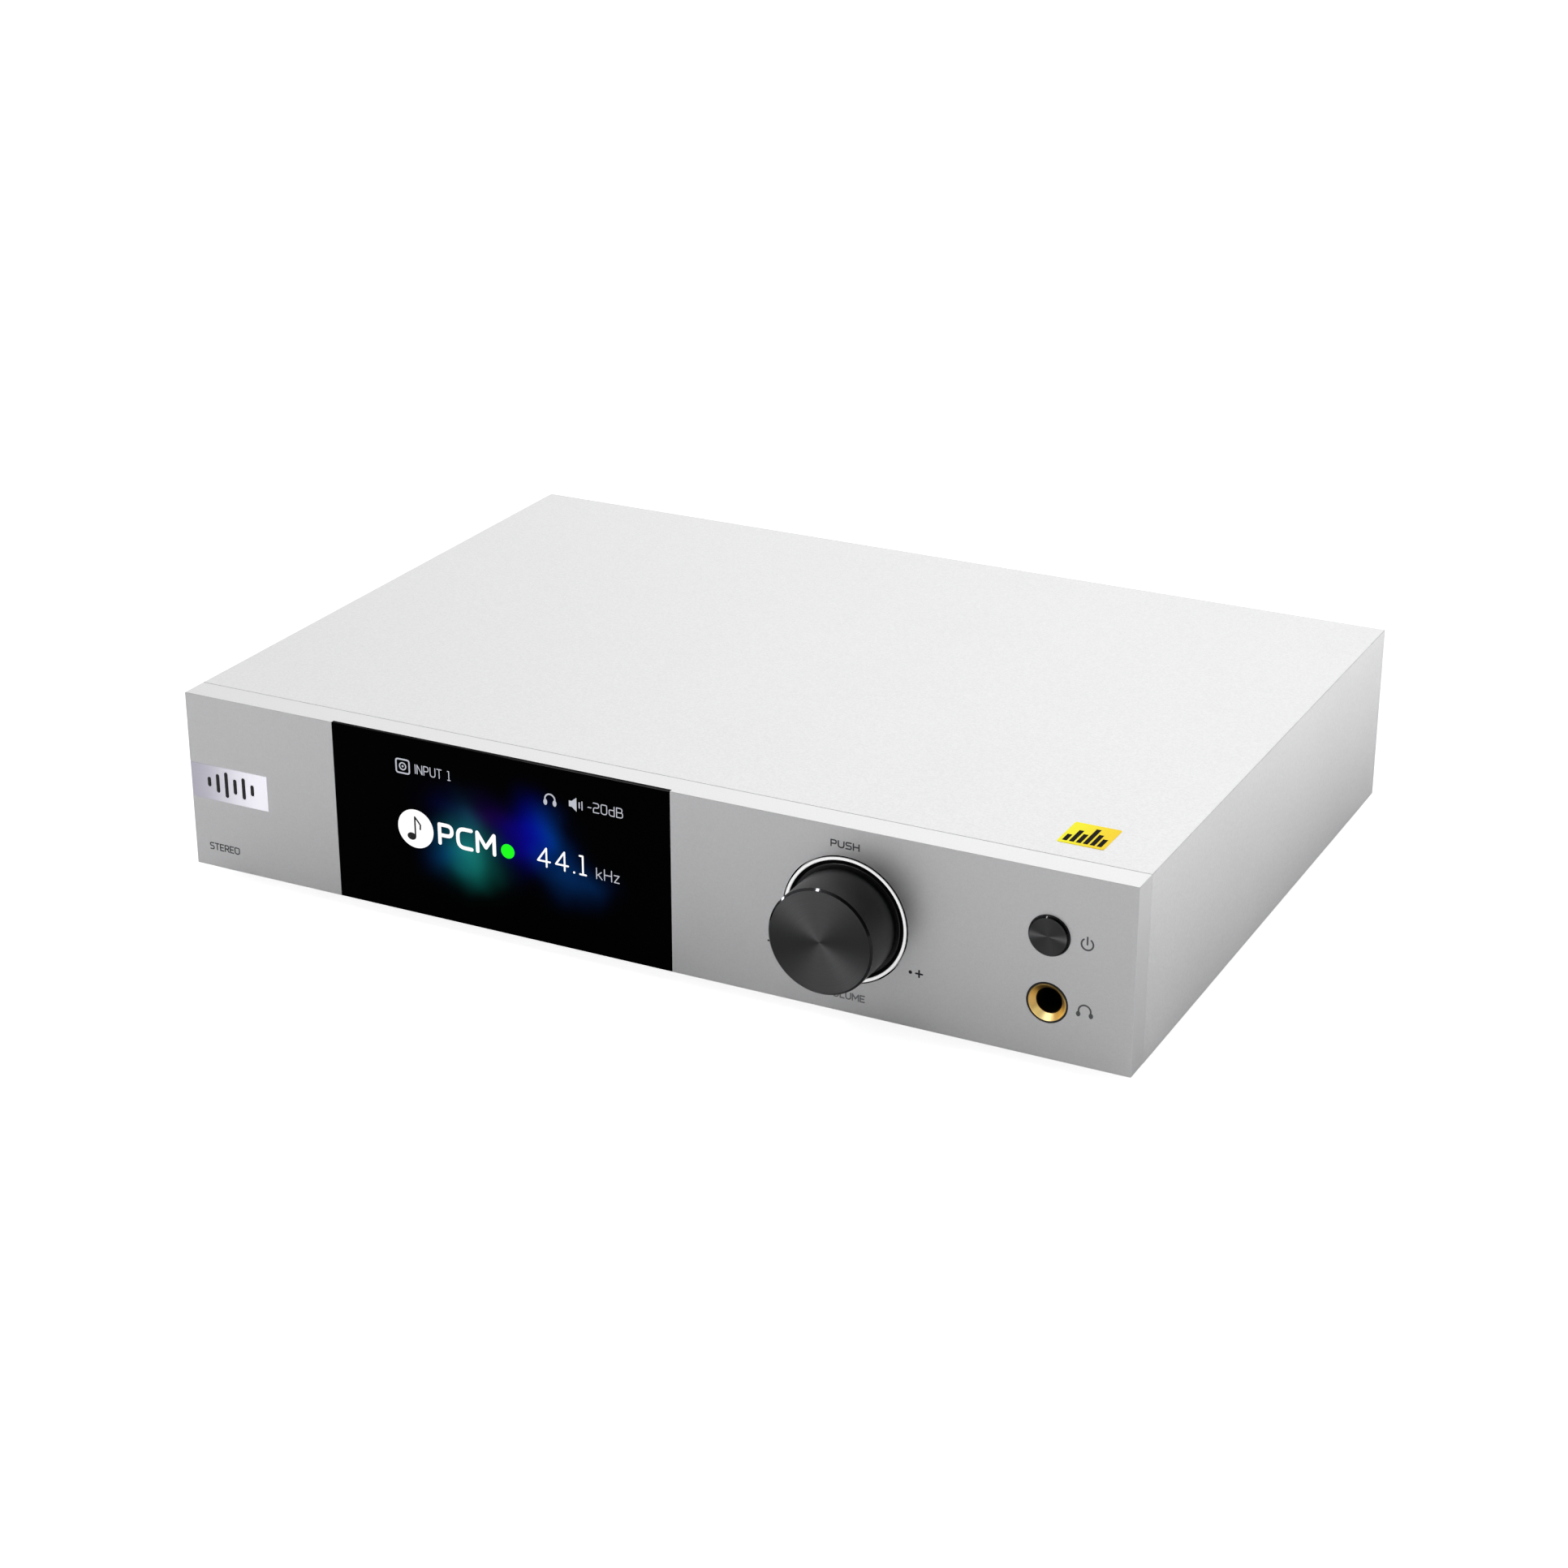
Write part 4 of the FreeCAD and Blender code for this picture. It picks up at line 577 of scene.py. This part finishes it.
for node in ("front_panel",):
    set_mat(node, M["front"])
set_mat("top_cover", M["cover"])
set_mat("display_glass", M["glass"])
set_mat("badge_plate", M["badge"])
set_mat("knob_light_ring", M["ring"])
set_mat("knob_dish", M["dish"])
set_mat("volume_knob", M["knob"])
set_mat("power_button", M["button"])
set_mat("headphone_bezel", M["funnel"])
set_mat("top_label", M["label"])
set_mat("bottom_plate", M["base"])
set_mat("rear_panel", M["powder"])
set_mat("rubber_feet", M["rubber"])
set_mat("side_rails", M["rail"])
for node in ("bottom_screws", "foot_screws", "rear_panel_screws", "board_screws"):
    set_mat(node, M["screw"])
for node in ("headphone_jack_body", "rocker_frame", "mains_inlet", "optical_sockets", "power_switch_body", "power_switch_plunger", "main_chips", "xlr_inserts", "knob_insert", "encoder_housing", "encoder_plunger"):
    set_mat(node, M["black_plastic"])
set_mat("power_rocker", M["rocker"])
for node in ("rca_barrels", "antenna_socket"):
    set_mat(node, M["gold"])
for node in ("headphone_contacts", "mains_pins", "xlr_pins", "usb_socket", "shield_can"):
    set_mat(node, M["tin"])
set_mat("xlr_shells", M["xlr"])
set_mat("rca_insulators", M["insulator"])
for node in ("usb_tongue", "encoder_rotor"):
    set_mat(node, M["white_plastic"])
for node in ("optical_shutter_1", "optical_shutter_2"):
    set_mat(node, M["shutter"])
for node in ("encoder_shaft", "encoder_nut", "front_board_spacers", "board_standoffs"):
    set_mat(node, M["steel"])
set_mat("encoder_bushing", M["zinc"])
for node in ("front_board", "main_board", "psu_board"):
    set_mat(node, M["board"])
set_mat("lcd_panel", M["black_plastic"])
set_mat("display_ribbon", M["ribbon"])
for node in ("audio_capacitors", "psu_capacitors"):
    set_mat(node, M["capacitor"])
set_mat("output_relays", M["relay"])
set_mat("psu_transformer", M["transformer"])
set_mat("psu_heatsink", M["heatsink"])
for node in ("mains_wires", "low_voltage_wires"):
    set_mat(node, M["wire"])
for n, o in N.items():
    assert o.data.materials and o.data.materials[0] and o.data.materials[0].use_nodes, n


# ------------------------------------------------------------------ printed and lit marks, as thin plates
class Marks:
    """Collects flat outlines in a plane and turns them into one thin closed mesh each."""

    def __init__(self, name, origin, u, v, out, material, slot, body="root", proud=0.03, sunk=0.02):
        self.name, self.o, self.u, self.v, self.w = name, Vector(origin), Vector(u), Vector(v), Vector(out)
        self.material, self.slot, self.body = material, slot, body
        self.proud, self.sunk = proud, sunk
        self.polys = []

    def poly(self, pts):
        area = sum(pts[i][0] * pts[(i + 1) % len(pts)][1] - pts[(i + 1) % len(pts)][0] * pts[i][1] for i in range(len(pts)))
        self.polys.append(list(pts) if area > 0 else list(pts)[::-1])

    def disc(self, x, y, r, n=48, ry=None):
        ry = ry or r
        self.poly([(x + r * math.cos(2 * math.pi * k / n), y + ry * math.sin(2 * math.pi * k / n)) for k in range(n)])

    def stroke(self, pts, w, closed=False):
        """Ribbon of width w along pts with round ends; splits at sharp corners, which get a round joint."""
        h = w / 2
        pts = [Vector(p) for p in pts]
        clean = [pts[0]]
        for p in pts[1:]:
            if (p - clean[-1]).length > 1e-6:
                clean.append(p)
        pts = clean
        if closed and (pts[0] - pts[-1]).length < 1e-6:
            pts = pts[:-1]
        if closed:
            n = len(pts)
            outer, inner = [], []
            for i in range(n):
                a, b = (pts[i] - pts[i - 1]).normalized(), (pts[(i + 1) % n] - pts[i]).normalized()
                t = (a + b).normalized()
                m = Vector((-t.y, t.x))
                k = h / max(0.5, m.dot(Vector((-a.y, a.x))))
                outer.append(pts[i] + m * k)
                inner.append(pts[i] - m * k)
            for i in range(n):
                j = (i + 1) % n
                self.poly([tuple(outer[i]), tuple(outer[j]), tuple(inner[j]), tuple(inner[i])])
            return
        runs, run = [], [pts[0]]
        for i in range(1, len(pts)):
            run.append(pts[i])
            if i < len(pts) - 1:
                a, b = (pts[i] - pts[i - 1]).normalized(), (pts[i + 1] - pts[i]).normalized()
                if a.dot(b) < math.cos(math.radians(40)):
                    runs.append(run)
                    run = [pts[i]]
        runs.append(run)
        for run in runs:
            left, right = [], []
            for i, p in enumerate(run):
                a = (run[i] - run[i - 1]).normalized() if i else (run[1] - run[0]).normalized()
                b = (run[i + 1] - run[i]).normalized() if i < len(run) - 1 else a
                t = (a + b).normalized()
                m = Vector((-t.y, t.x))
                k = h / max(0.5, m.dot(Vector((-a.y, a.x))))
                left.append(p + m * k)
                right.append(p - m * k)
            cap = lambda c, d, s: [c + Vector((math.cos(s + math.pi * q / 6), math.sin(s + math.pi * q / 6))) * h for q in range(1, 6)]
            a0 = (run[1] - run[0]).normalized()
            a1 = (run[-1] - run[-2]).normalized()
            end = cap(run[-1], None, math.atan2(-a1.x, a1.y))
            start = cap(run[0], None, math.atan2(a0.x, -a0.y))
            pts2 = right + end + left[::-1] + start
            self.poly([tuple(p) for p in pts2])

    def arc(self, x, y, r, a0, a1, w, n=20, ry=None):
        ry = ry or r
        self.stroke([(x + r * math.cos(math.radians(a0 + (a1 - a0) * k / n)), y + ry * math.sin(math.radians(a0 + (a1 - a0) * k / n))) for k in range(n + 1)], w)

    def ring(self, x, y, r, w, n=48):
        self.stroke([(x + r * math.cos(2 * math.pi * k / n), y + r * math.sin(2 * math.pi * k / n)) for k in range(n)], w, closed=True)

    def text(self, s, x, y, height, width=None, w=0.3, align="centre", gap=0.26):
        """Draws s with its base line at y. x is the centre, left or right end; width stretches it to fit."""
        total = 0.0
        glyphs = []
        for ch in s:
            adv, strokes = FONT[ch]
            glyphs.append((total, strokes))
            total += adv + gap
        total -= gap
        sx = (width - w) / (total * height) if width else 1.0
        full = total * height * sx
        x0 = x - full / 2 if align == "centre" else (x + w / 2 if align == "left" else x - full - w / 2)
        for at, strokes in glyphs:
            for st in strokes:
                if len(st) == 1:
                    px, py = st[0][:2]
                    self.disc(x0 + (at + px) * height * sx, y + w / 2 + py * (height - w), w * 0.62, 14)
                    continue
                pts = rounded([(x0 + (at + p[0]) * height * sx, y + w / 2 + p[1] * (height - w), (p[2] if len(p) > 2 else 0.0) * height) for p in st])
                self.stroke(pts, w)

    def build(self):
        bm = bmesh.new()
        for k, pts in enumerate(self.polys):
            # neighbouring outlines stand a hair apart in height, so overlaps never share a plane
            lift = (k % 5) * 0.0004
            top = [bm.verts.new((self.o + self.u * (p[0] * MM) + self.v * (p[1] * MM) + self.w * ((self.proud + lift) * MM))) for p in pts]
            low = [bm.verts.new((self.o + self.u * (p[0] * MM) + self.v * (p[1] * MM) - self.w * (self.sunk * MM))) for p in pts]
            bm.faces.new(top)
            bm.faces.new(low[::-1])
            n = len(pts)
            for i in range(n):
                bm.faces.new((top[i], low[i], low[(i + 1) % n], top[(i + 1) % n]))
        bmesh.ops.recalc_face_normals(bm, faces=bm.faces)
        bmesh.ops.triangulate(bm, faces=[f for f in bm.faces if len(f.verts) > 4])
        me = bpy.data.meshes.new(self.name)
        bm.to_mesh(me)
        bm.free()
        me.materials.append(self.material)
        ob = bpy.data.objects.new(self.name, me)
        S.collection.objects.link(ob)
        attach(ob, self.body)
        return ob


def rounded(pts, n=5):
    """Rounds the corners of a polyline whose points carry a radius."""
    out = []
    for i, p in enumerate(pts):
        r = p[2]
        if r <= 0 or i in (0, len(pts) - 1):
            out.append((p[0], p[1]))
            continue
        a, b, c = Vector(pts[i - 1][:2]), Vector(p[:2]), Vector(pts[i + 1][:2])
        ua, uc = (a - b), (c - b)
        r = min(r, ua.length * 0.5, uc.length * 0.5)
        p0, p1 = b + ua.normalized() * r, b + uc.normalized() * r
        for k in range(n + 1):
            t = k / n
            q = p0 * (1 - t) ** 2 + b * 2 * t * (1 - t) + p1 * t ** 2
            out.append((q.x, q.y))
    return out


R = 0.26
FONT = {
    " ": (0.34, []),
    "A": (0.76, [[(0, 0), (0.38, 1), (0.76, 0)], [(0.14, 0.32), (0.62, 0.32)]]),
    "B": (0.66, [[(0, 0.52), (0.60, 0.52, R), (0.60, 1, R), (0, 1), (0, 0), (0.66, 0, R), (0.66, 0.52, R), (0.3, 0.52)]]),
    "C": (0.68, [[(0.68, 1), (0, 1, R * 1.3), (0, 0, R * 1.3), (0.68, 0)]]),
    "D": (0.70, [[(0, 0), (0, 1), (0.70, 1, R * 1.4), (0.70, 0, R * 1.4), (0, 0)]]),
    "E": (0.58, [[(0.58, 1), (0, 1), (0, 0), (0.58, 0)], [(0, 0.5), (0.5, 0.5)]]),
    "H": (0.68, [[(0, 0), (0, 1)], [(0.68, 0), (0.68, 1)], [(0, 0.5), (0.68, 0.5)]]),
    "I": (0.0, [[(0, 0), (0, 1)]]),
    "K": (0.62, [[(0, 0), (0, 1)], [(0.58, 1), (0.0, 0.42)], [(0.2, 0.62), (0.64, 0)]]),
    "L": (0.54, [[(0, 1), (0, 0), (0.54, 0)]]),
    "M": (0.84, [[(0, 0), (0, 1), (0.42, 0.28), (0.84, 1), (0.84, 0)]]),
    "N": (0.68, [[(0, 0), (0, 1), (0.68, 0), (0.68, 1)]]),
    "O": (0.78, [[(0.39, 1), (0, 1, R * 1.4), (0, 0, R * 1.4), (0.78, 0, R * 1.4), (0.78, 1, R * 1.4), (0.39, 1)]]),
    "P": (0.62, [[(0, 0), (0, 1), (0.62, 1, R), (0.62, 0.44, R), (0, 0.44)]]),
    "R": (0.64, [[(0, 0), (0, 1), (0.62, 1, R), (0.62, 0.46, R), (0, 0.46)], [(0.34, 0.46), (0.64, 0)]]),
    "S": (0.62, [[(0.62, 1), (0, 1, R), (0, 0.52, R), (0.62, 0.52, R), (0.62, 0, R), (0, 0)]]),
    "T": (0.62, [[(0, 1), (0.62, 1)], [(0.31, 1), (0.31, 0)]]),
    "U": (0.68, [[(0, 1), (0, 0, R * 1.4), (0.68, 0, R * 1.4), (0.68, 1)]]),
    "V": (0.74, [[(0, 1), (0.37, 0), (0.74, 1)]]),
    "W": (1.0, [[(0, 1), (0.25, 0), (0.5, 0.8), (0.75, 0), (1.0, 1)]]),
    "X": (0.66, [[(0, 1), (0.66, 0)], [(0, 0), (0.66, 1)]]),
    "Z": (0.60, [[(0, 1), (0.60, 1), (0, 0), (0.60, 0)]]),
    "d": (0.56, [[(0.56, 0.62), (0.22, 0.62, R), (0, 0.62, R), (0, 0, R), (0.56, 0)], [(0.56, 1), (0.56, 0)]]),
    "k": (0.50, [[(0, 0), (0, 1)], [(0.46, 0.66), (0.0, 0.28)], [(0.16, 0.40), (0.52, 0)]]),
    "z": (0.46, [[(0, 0.66), (0.46, 0.66), (0, 0), (0.46, 0)]]),
    "0": (0.62, [[(0.31, 1), (0, 1, R), (0, 0, R), (0.62, 0, R), (0.62, 1, R), (0.31, 1)]]),
    "1": (0.34, [[(0, 1), (0.17, 1), (0.17, 0)], [(0, 0), (0.34, 0)]]),
    "2": (0.60, [[(0, 1), (0.60, 1, R), (0.60, 0.52, R), (0, 0.52, R), (0, 0), (0.60, 0)]]),
    "4": (0.70, [[(0.50, 0), (0.50, 1), (0, 0.28), (0.70, 0.28)]]),
    ".": (0.0, [[(0, 0.02)]]),
    "-": (0.34, [[(0, 0.42), (0.34, 0.42)]]),
    "+": (0.5, [[(0, 0.5), (0.5, 0.5)], [(0.25, 0.25), (0.25, 0.75)]]),
}

FRONT = dict(origin=(0.0, YF, Z0), u=(1, 0, 0), v=(0, 0, 1), out=(0, -1, 0))


def front(name, mat, slot, **kw):
    return Marks(name, FRONT["origin"], FRONT["u"], FRONT["v"], FRONT["out"], M[mat], slot, **kw)


# legends on the aluminium
m = front("print_knob_legends", "ink_grey", "front_aluminium")
m.text("PUSH", 59.65, 43.9, 1.98, 7.8, 0.35)
m.build()
m = front("print_volume_legend", "ink_pale", "front_aluminium")
m.text("VOLUME", 60.0, 3.6, 2.0, 10.8, 0.34)
m.build()
m = front("print_knob_signs", "ink_dark", "front_aluminium")
kx = KX / MM
for s in (1, -1):
    m.disc(kx + s * 17.7, 14.9, 0.47, 20)
m.stroke([(kx + 19.15, 14.9), (kx + 20.9, 14.9)], 0.44)
m.stroke([(kx + 20.02, 14.02), (kx + 20.02, 15.78)], 0.44)
m.stroke([(kx - 20.9, 14.9), (kx - 19.15, 14.9)], 0.44)
m.build()
m = front("print_socket_signs", "ink_mid", "front_aluminium")
cx, cz = 122.7, BZ / MM - Z0 / MM - 0.15
m.arc(cx, cz - 0.1, 1.5, 128, 412, 0.42)
m.stroke([(cx, cz - 0.15), (cx, cz + 1.75)], 0.42)
cz = JZ / MM - Z0 / MM
m.arc(cx, cz - 0.1, 1.55, -22, 202, 0.42)
m.disc(cx - 1.62, cz - 1.05, 0.56, 20, ry=0.70)
m.disc(cx + 1.62, cz - 1.05, 0.56, 20, ry=0.70)
m.build()
m = front("print_type_legend", "ink_grey", "front_aluminium")
m.text("STEREO", -125.6, 4.95, 2.1, 9.8, 0.32)
m.build()

# badge emblem: five level bars
m = Marks("badge_emblem", (0.0, d_lo.y, Z0), (1, 0, 0), (0, 0, 1), (0, -1, 0), M["ink_badge"], "badge_metal", proud=0.03, sunk=0.02)
for k, h in enumerate((2.8, 5.4, 7.4, 4.4, 6.2, 3.2)):
    x = -129.0 + k * 2.78
    m.stroke([(x, 24.95 - h / 2 + 0.55), (x, 24.95 + h / 2 - 0.55)], 1.1)
m.build()

# lit picture on the display
m = front("display_white", "px_white", "display_glass")
m.disc(-63.7, 24.3, 5.4, 64)
m.text("PCM", -48.15, 21.3, 6.3, 17.5, 1.05, gap=0.30)
m.text("44.1", -19.9, 21.4, 5.6, 14.6, 0.50, gap=0.34)
m.build()
m = front("display_small", "px_grey", "display_glass")
# input sign: framed socket
m.stroke([(q[0], q[1]) for q in rounded([(-66.8, 43.2, 0), (-64.8, 43.2, .7), (-64.8, 39.4, .7), (-68.8, 39.4, .7), (-68.8, 43.2, .7), (-66.8, 43.2, 0)])], 0.42)
m.ring(-66.8, 41.3, 0.95, 0.34, 24)
m.disc(-66.8, 41.3, 0.30, 14)
m.text("INPUT 1", -57.7, 39.9, 2.7, 10.8, 0.25)
# headphone sign
m.arc(-22.85, 40.6, 1.45, 0, 180, 0.40)
m.disc(-24.2, 39.75, 0.55, 18, ry=0.85)
m.disc(-21.5, 39.75, 0.55, 18, ry=0.85)
# loudspeaker sign
m.poly([(-17.3, 39.9), (-16.5, 39.9), (-15.1, 38.8), (-15.1, 42.6), (-16.5, 41.5), (-17.3, 41.5)])
m.stroke([(-14.3, 40.0), (-14.3, 41.4)], 0.34)
m.stroke([(-13.5, 39.6), (-13.5, 41.8)], 0.30)
m.text("-20dB", -6.8, 39.5, 2.8, 10.2, 0.25)
m.text("kHz", -6.5, 21.3, 3.2, 6.8, 0.27)
m.build()
m = front("display_green", "px_green", "display_glass")
m.disc(-35.9, 23.6, 2.0, 48)
m.build()
# note on the white disc
m = front("display_note", "px_black", "display_glass", proud=0.045, sunk=0.0)
m.disc(-65.0, 22.0, 1.35, 24, ry=1.05)
m.stroke([(-63.85, 22.1), (-63.85, 27.6)], 0.5)
m.stroke([(-63.85, 27.6), (-62.9, 26.5), (-62.2, 25.6), (-62.3, 24.4)], 0.5)
m.build()

# legends on the rear panel, read from behind
m = Marks("print_rear_legends", (0.0, r_hi.y, Z0), (-1, 0, 0), (0, 0, 1), (0, 1, 0), M["ink_white"], "rear_paint")
for a, b, word in ((-6.0, 12.0, "LINE OUT"), (34.0, 52.0, "COAX IN"), (70.0, 85.0, "OPT IN")):
    m.text(word, -(a + b) / 2, 34.0, 2.2, None, 0.26)
for x, c in ((-6.0, "R"), (12.0, "L"), (34.0, "1"), (52.0, "2"), (70.0, "1"), (85.0, "2")):
    m.text(c, -x, 29.0, 2.0, None, 0.26)
m.text("PC IN", -103.0, 34.0, 2.2, None, 0.26)
m.text("ANT", -121.5, 34.0, 2.2, None, 0.26)
m.text("BALANCED OUT", 44.0, 42.2, 2.2, None, 0.26)
m.text("R", 58.5, 4.6, 2.0, None, 0.26)
m.text("L", 29.5, 4.6, 2.0, None, 0.26)
m.text("POWER", 85.0, 38.6, 2.2, None, 0.26)
m.build()

# ------------------------------------------------------------------ camera
cam = bpy.data.objects.new("camera", bpy.data.cameras.new("camera"))
S.collection.objects.link(cam)
S.camera = cam
cam.data.sensor_width = 36.0
cam.data.lens = 72.96
cam.data.clip_start, cam.data.clip_end = 0.02, 40.0
cam.location = (0.36118, YF - 0.62711, Z0 + 0.36017)
fwd = Vector((-0.41542, 0.81932, -0.39515)).normalized()
right = Vector((0.89190, 0.45223, 0.0)).normalized()
up = right.cross(fwd).normalized()
cam.rotation_mode = "QUATERNION"
cam.rotation_quaternion = Matrix((right, up, -fwd)).transposed().to_quaternion()

# ------------------------------------------------------------------ stage
FLOOR_GLOW = 1.638


def floor():
    bm = bmesh.new()
    bmesh.ops.create_circle(bm, cap_ends=True, radius=6.0, segments=96)
    me = bpy.data.meshes.new("floor")
    bm.to_mesh(me)
    bm.free()
    ob = bpy.data.objects.new("floor", me)
    S.collection.objects.link(ob)
    # a hair under the feet; for a camera under the table it drops far away, so that the underside can be seen
    drv = ob.driver_add("location", 2).driver
    v = drv.variables.new()
    v.name = "eye"
    v.type = "TRANSFORMS"
    v.targets[0].id = cam
    v.targets[0].transform_type = "LOC_Z"
    v.targets[0].transform_space = "WORLD_SPACE"
    drv.expression = f"{cad_lo.z - 0.00004:.6f} if eye > 0 else -4.0"
    g = G("floor_pale")
    path = g.new("ShaderNodeLightPath")
    dif = g.new("ShaderNodeBsdfDiffuse")
    dif.inputs[0].default_value = (0.80, 0.80, 0.81, 1)
    em = g.new("ShaderNodeEmission")
    em.inputs[0].default_value = (1, 1, 1, 1)
    em.inputs[1].default_value = 0.86
    add = g.new("ShaderNodeAddShader")
    g.t.links.new(dif.outputs[0], add.inputs[0])
    g.t.links.new(em.outputs[0], add.inputs[1])
    # lit patch of floor at the right and behind, for the reflections
    w = g.sep(g.new("ShaderNodeNewGeometry").outputs["Position"])
    patch = g.math("MULTIPLY", g.remap(w[0], 0.12, 0.55, 0.0, 1.0, smooth=True), g.remap(w[1], -0.25, 0.25, 0.0, 1.0, smooth=True))
    patch = g.math("MULTIPLY", patch, g.math("SUBTRACT", 1.0, g.remap(g.vec("LENGTH", g.new("ShaderNodeNewGeometry").outputs["Position"]), 1.2, 2.4, 0.0, 1.0, smooth=True)))
    glow = g.math("MULTIPLY", patch, FLOOR_GLOW)
    glow.node.name = "floor_glow"
    bright = g.new("ShaderNodeEmission")
    g.put(bright.inputs[1], glow)
    low = g.new("ShaderNodeAddShader")
    g.t.links.new(dif.outputs[0], low.inputs[0])
    g.t.links.new(bright.outputs[0], low.inputs[1])
    mx = g.new("ShaderNodeMixShader")
    g.put(mx.inputs[0], path.outputs["Is Camera Ray"])
    g.t.links.new(low.outputs[0], mx.inputs[1])
    g.t.links.new(add.outputs[0], mx.inputs[2])
    me.materials.append(g.done(mx.outputs[0]))


floor()


BASE = 0.723                                            # even light all round
DARK = ((0.55, -0.60, 0.55), 22, 60, 0.88)              # unlit side, behind the camera
LOBES = [
    # direction, inner and outer radius in degrees, strength
    ("rear_hi", (-0.20, 0.85, 0.50), 4, 30, 0.466),
    ("rear_right", (0.70, 0.66, 0.28), 6, 42, 0.500),
    ("front_left", (-0.80, -0.45, 0.40), 6, 30, 0.057),
    ("lamp_high", (-0.46, -0.38, 0.80), 1.5, 2.5, 49.0),
    ("lamp_low", (-0.99, 0.04, 0.13), 1.7, 2.8, 26.0),
]


def world():
    """Pale studio: white to the camera; softboxes and a dark side to everything else."""
    g = G("studio", world=True)
    d = g.vec("NORMALIZE", g.coord("Generated"))

    def lobe(v, inner, outer, strength):
        v = Vector(v).normalized()
        dot = g.vec("DOT_PRODUCT", d, tuple(v))
        return g.remap(dot, math.cos(math.radians(outer)), math.cos(math.radians(inner)), 0.0, strength, smooth=True)

    total = g.math("MULTIPLY", g.math("SUBTRACT", 1.0, lobe(*DARK)), BASE)
    for _, v, inner, outer, strength in LOBES:
        total = g.math("ADD", total, lobe(v, inner, outer, strength))
    path = g.new("ShaderNodeLightPath")
    strength = g.mixf(path.outputs["Is Camera Ray"], total, 1.05)
    bg = g.new("ShaderNodeBackground")
    bg.inputs[0].default_value = (1, 1, 1, 1)
    g.put(bg.inputs[1], strength)
    S.world = g.done(bg.outputs[0])
    S.world.cycles.sampling_method = "MANUAL"
    S.world.cycles.sample_map_resolution = 2048


world()


# ------------------------------------------------------------------ picture
S.view_settings.view_transform = "Standard"
S.view_settings.look = "None"
S.view_settings.exposure = 0.0
S.view_settings.gamma = 1.0
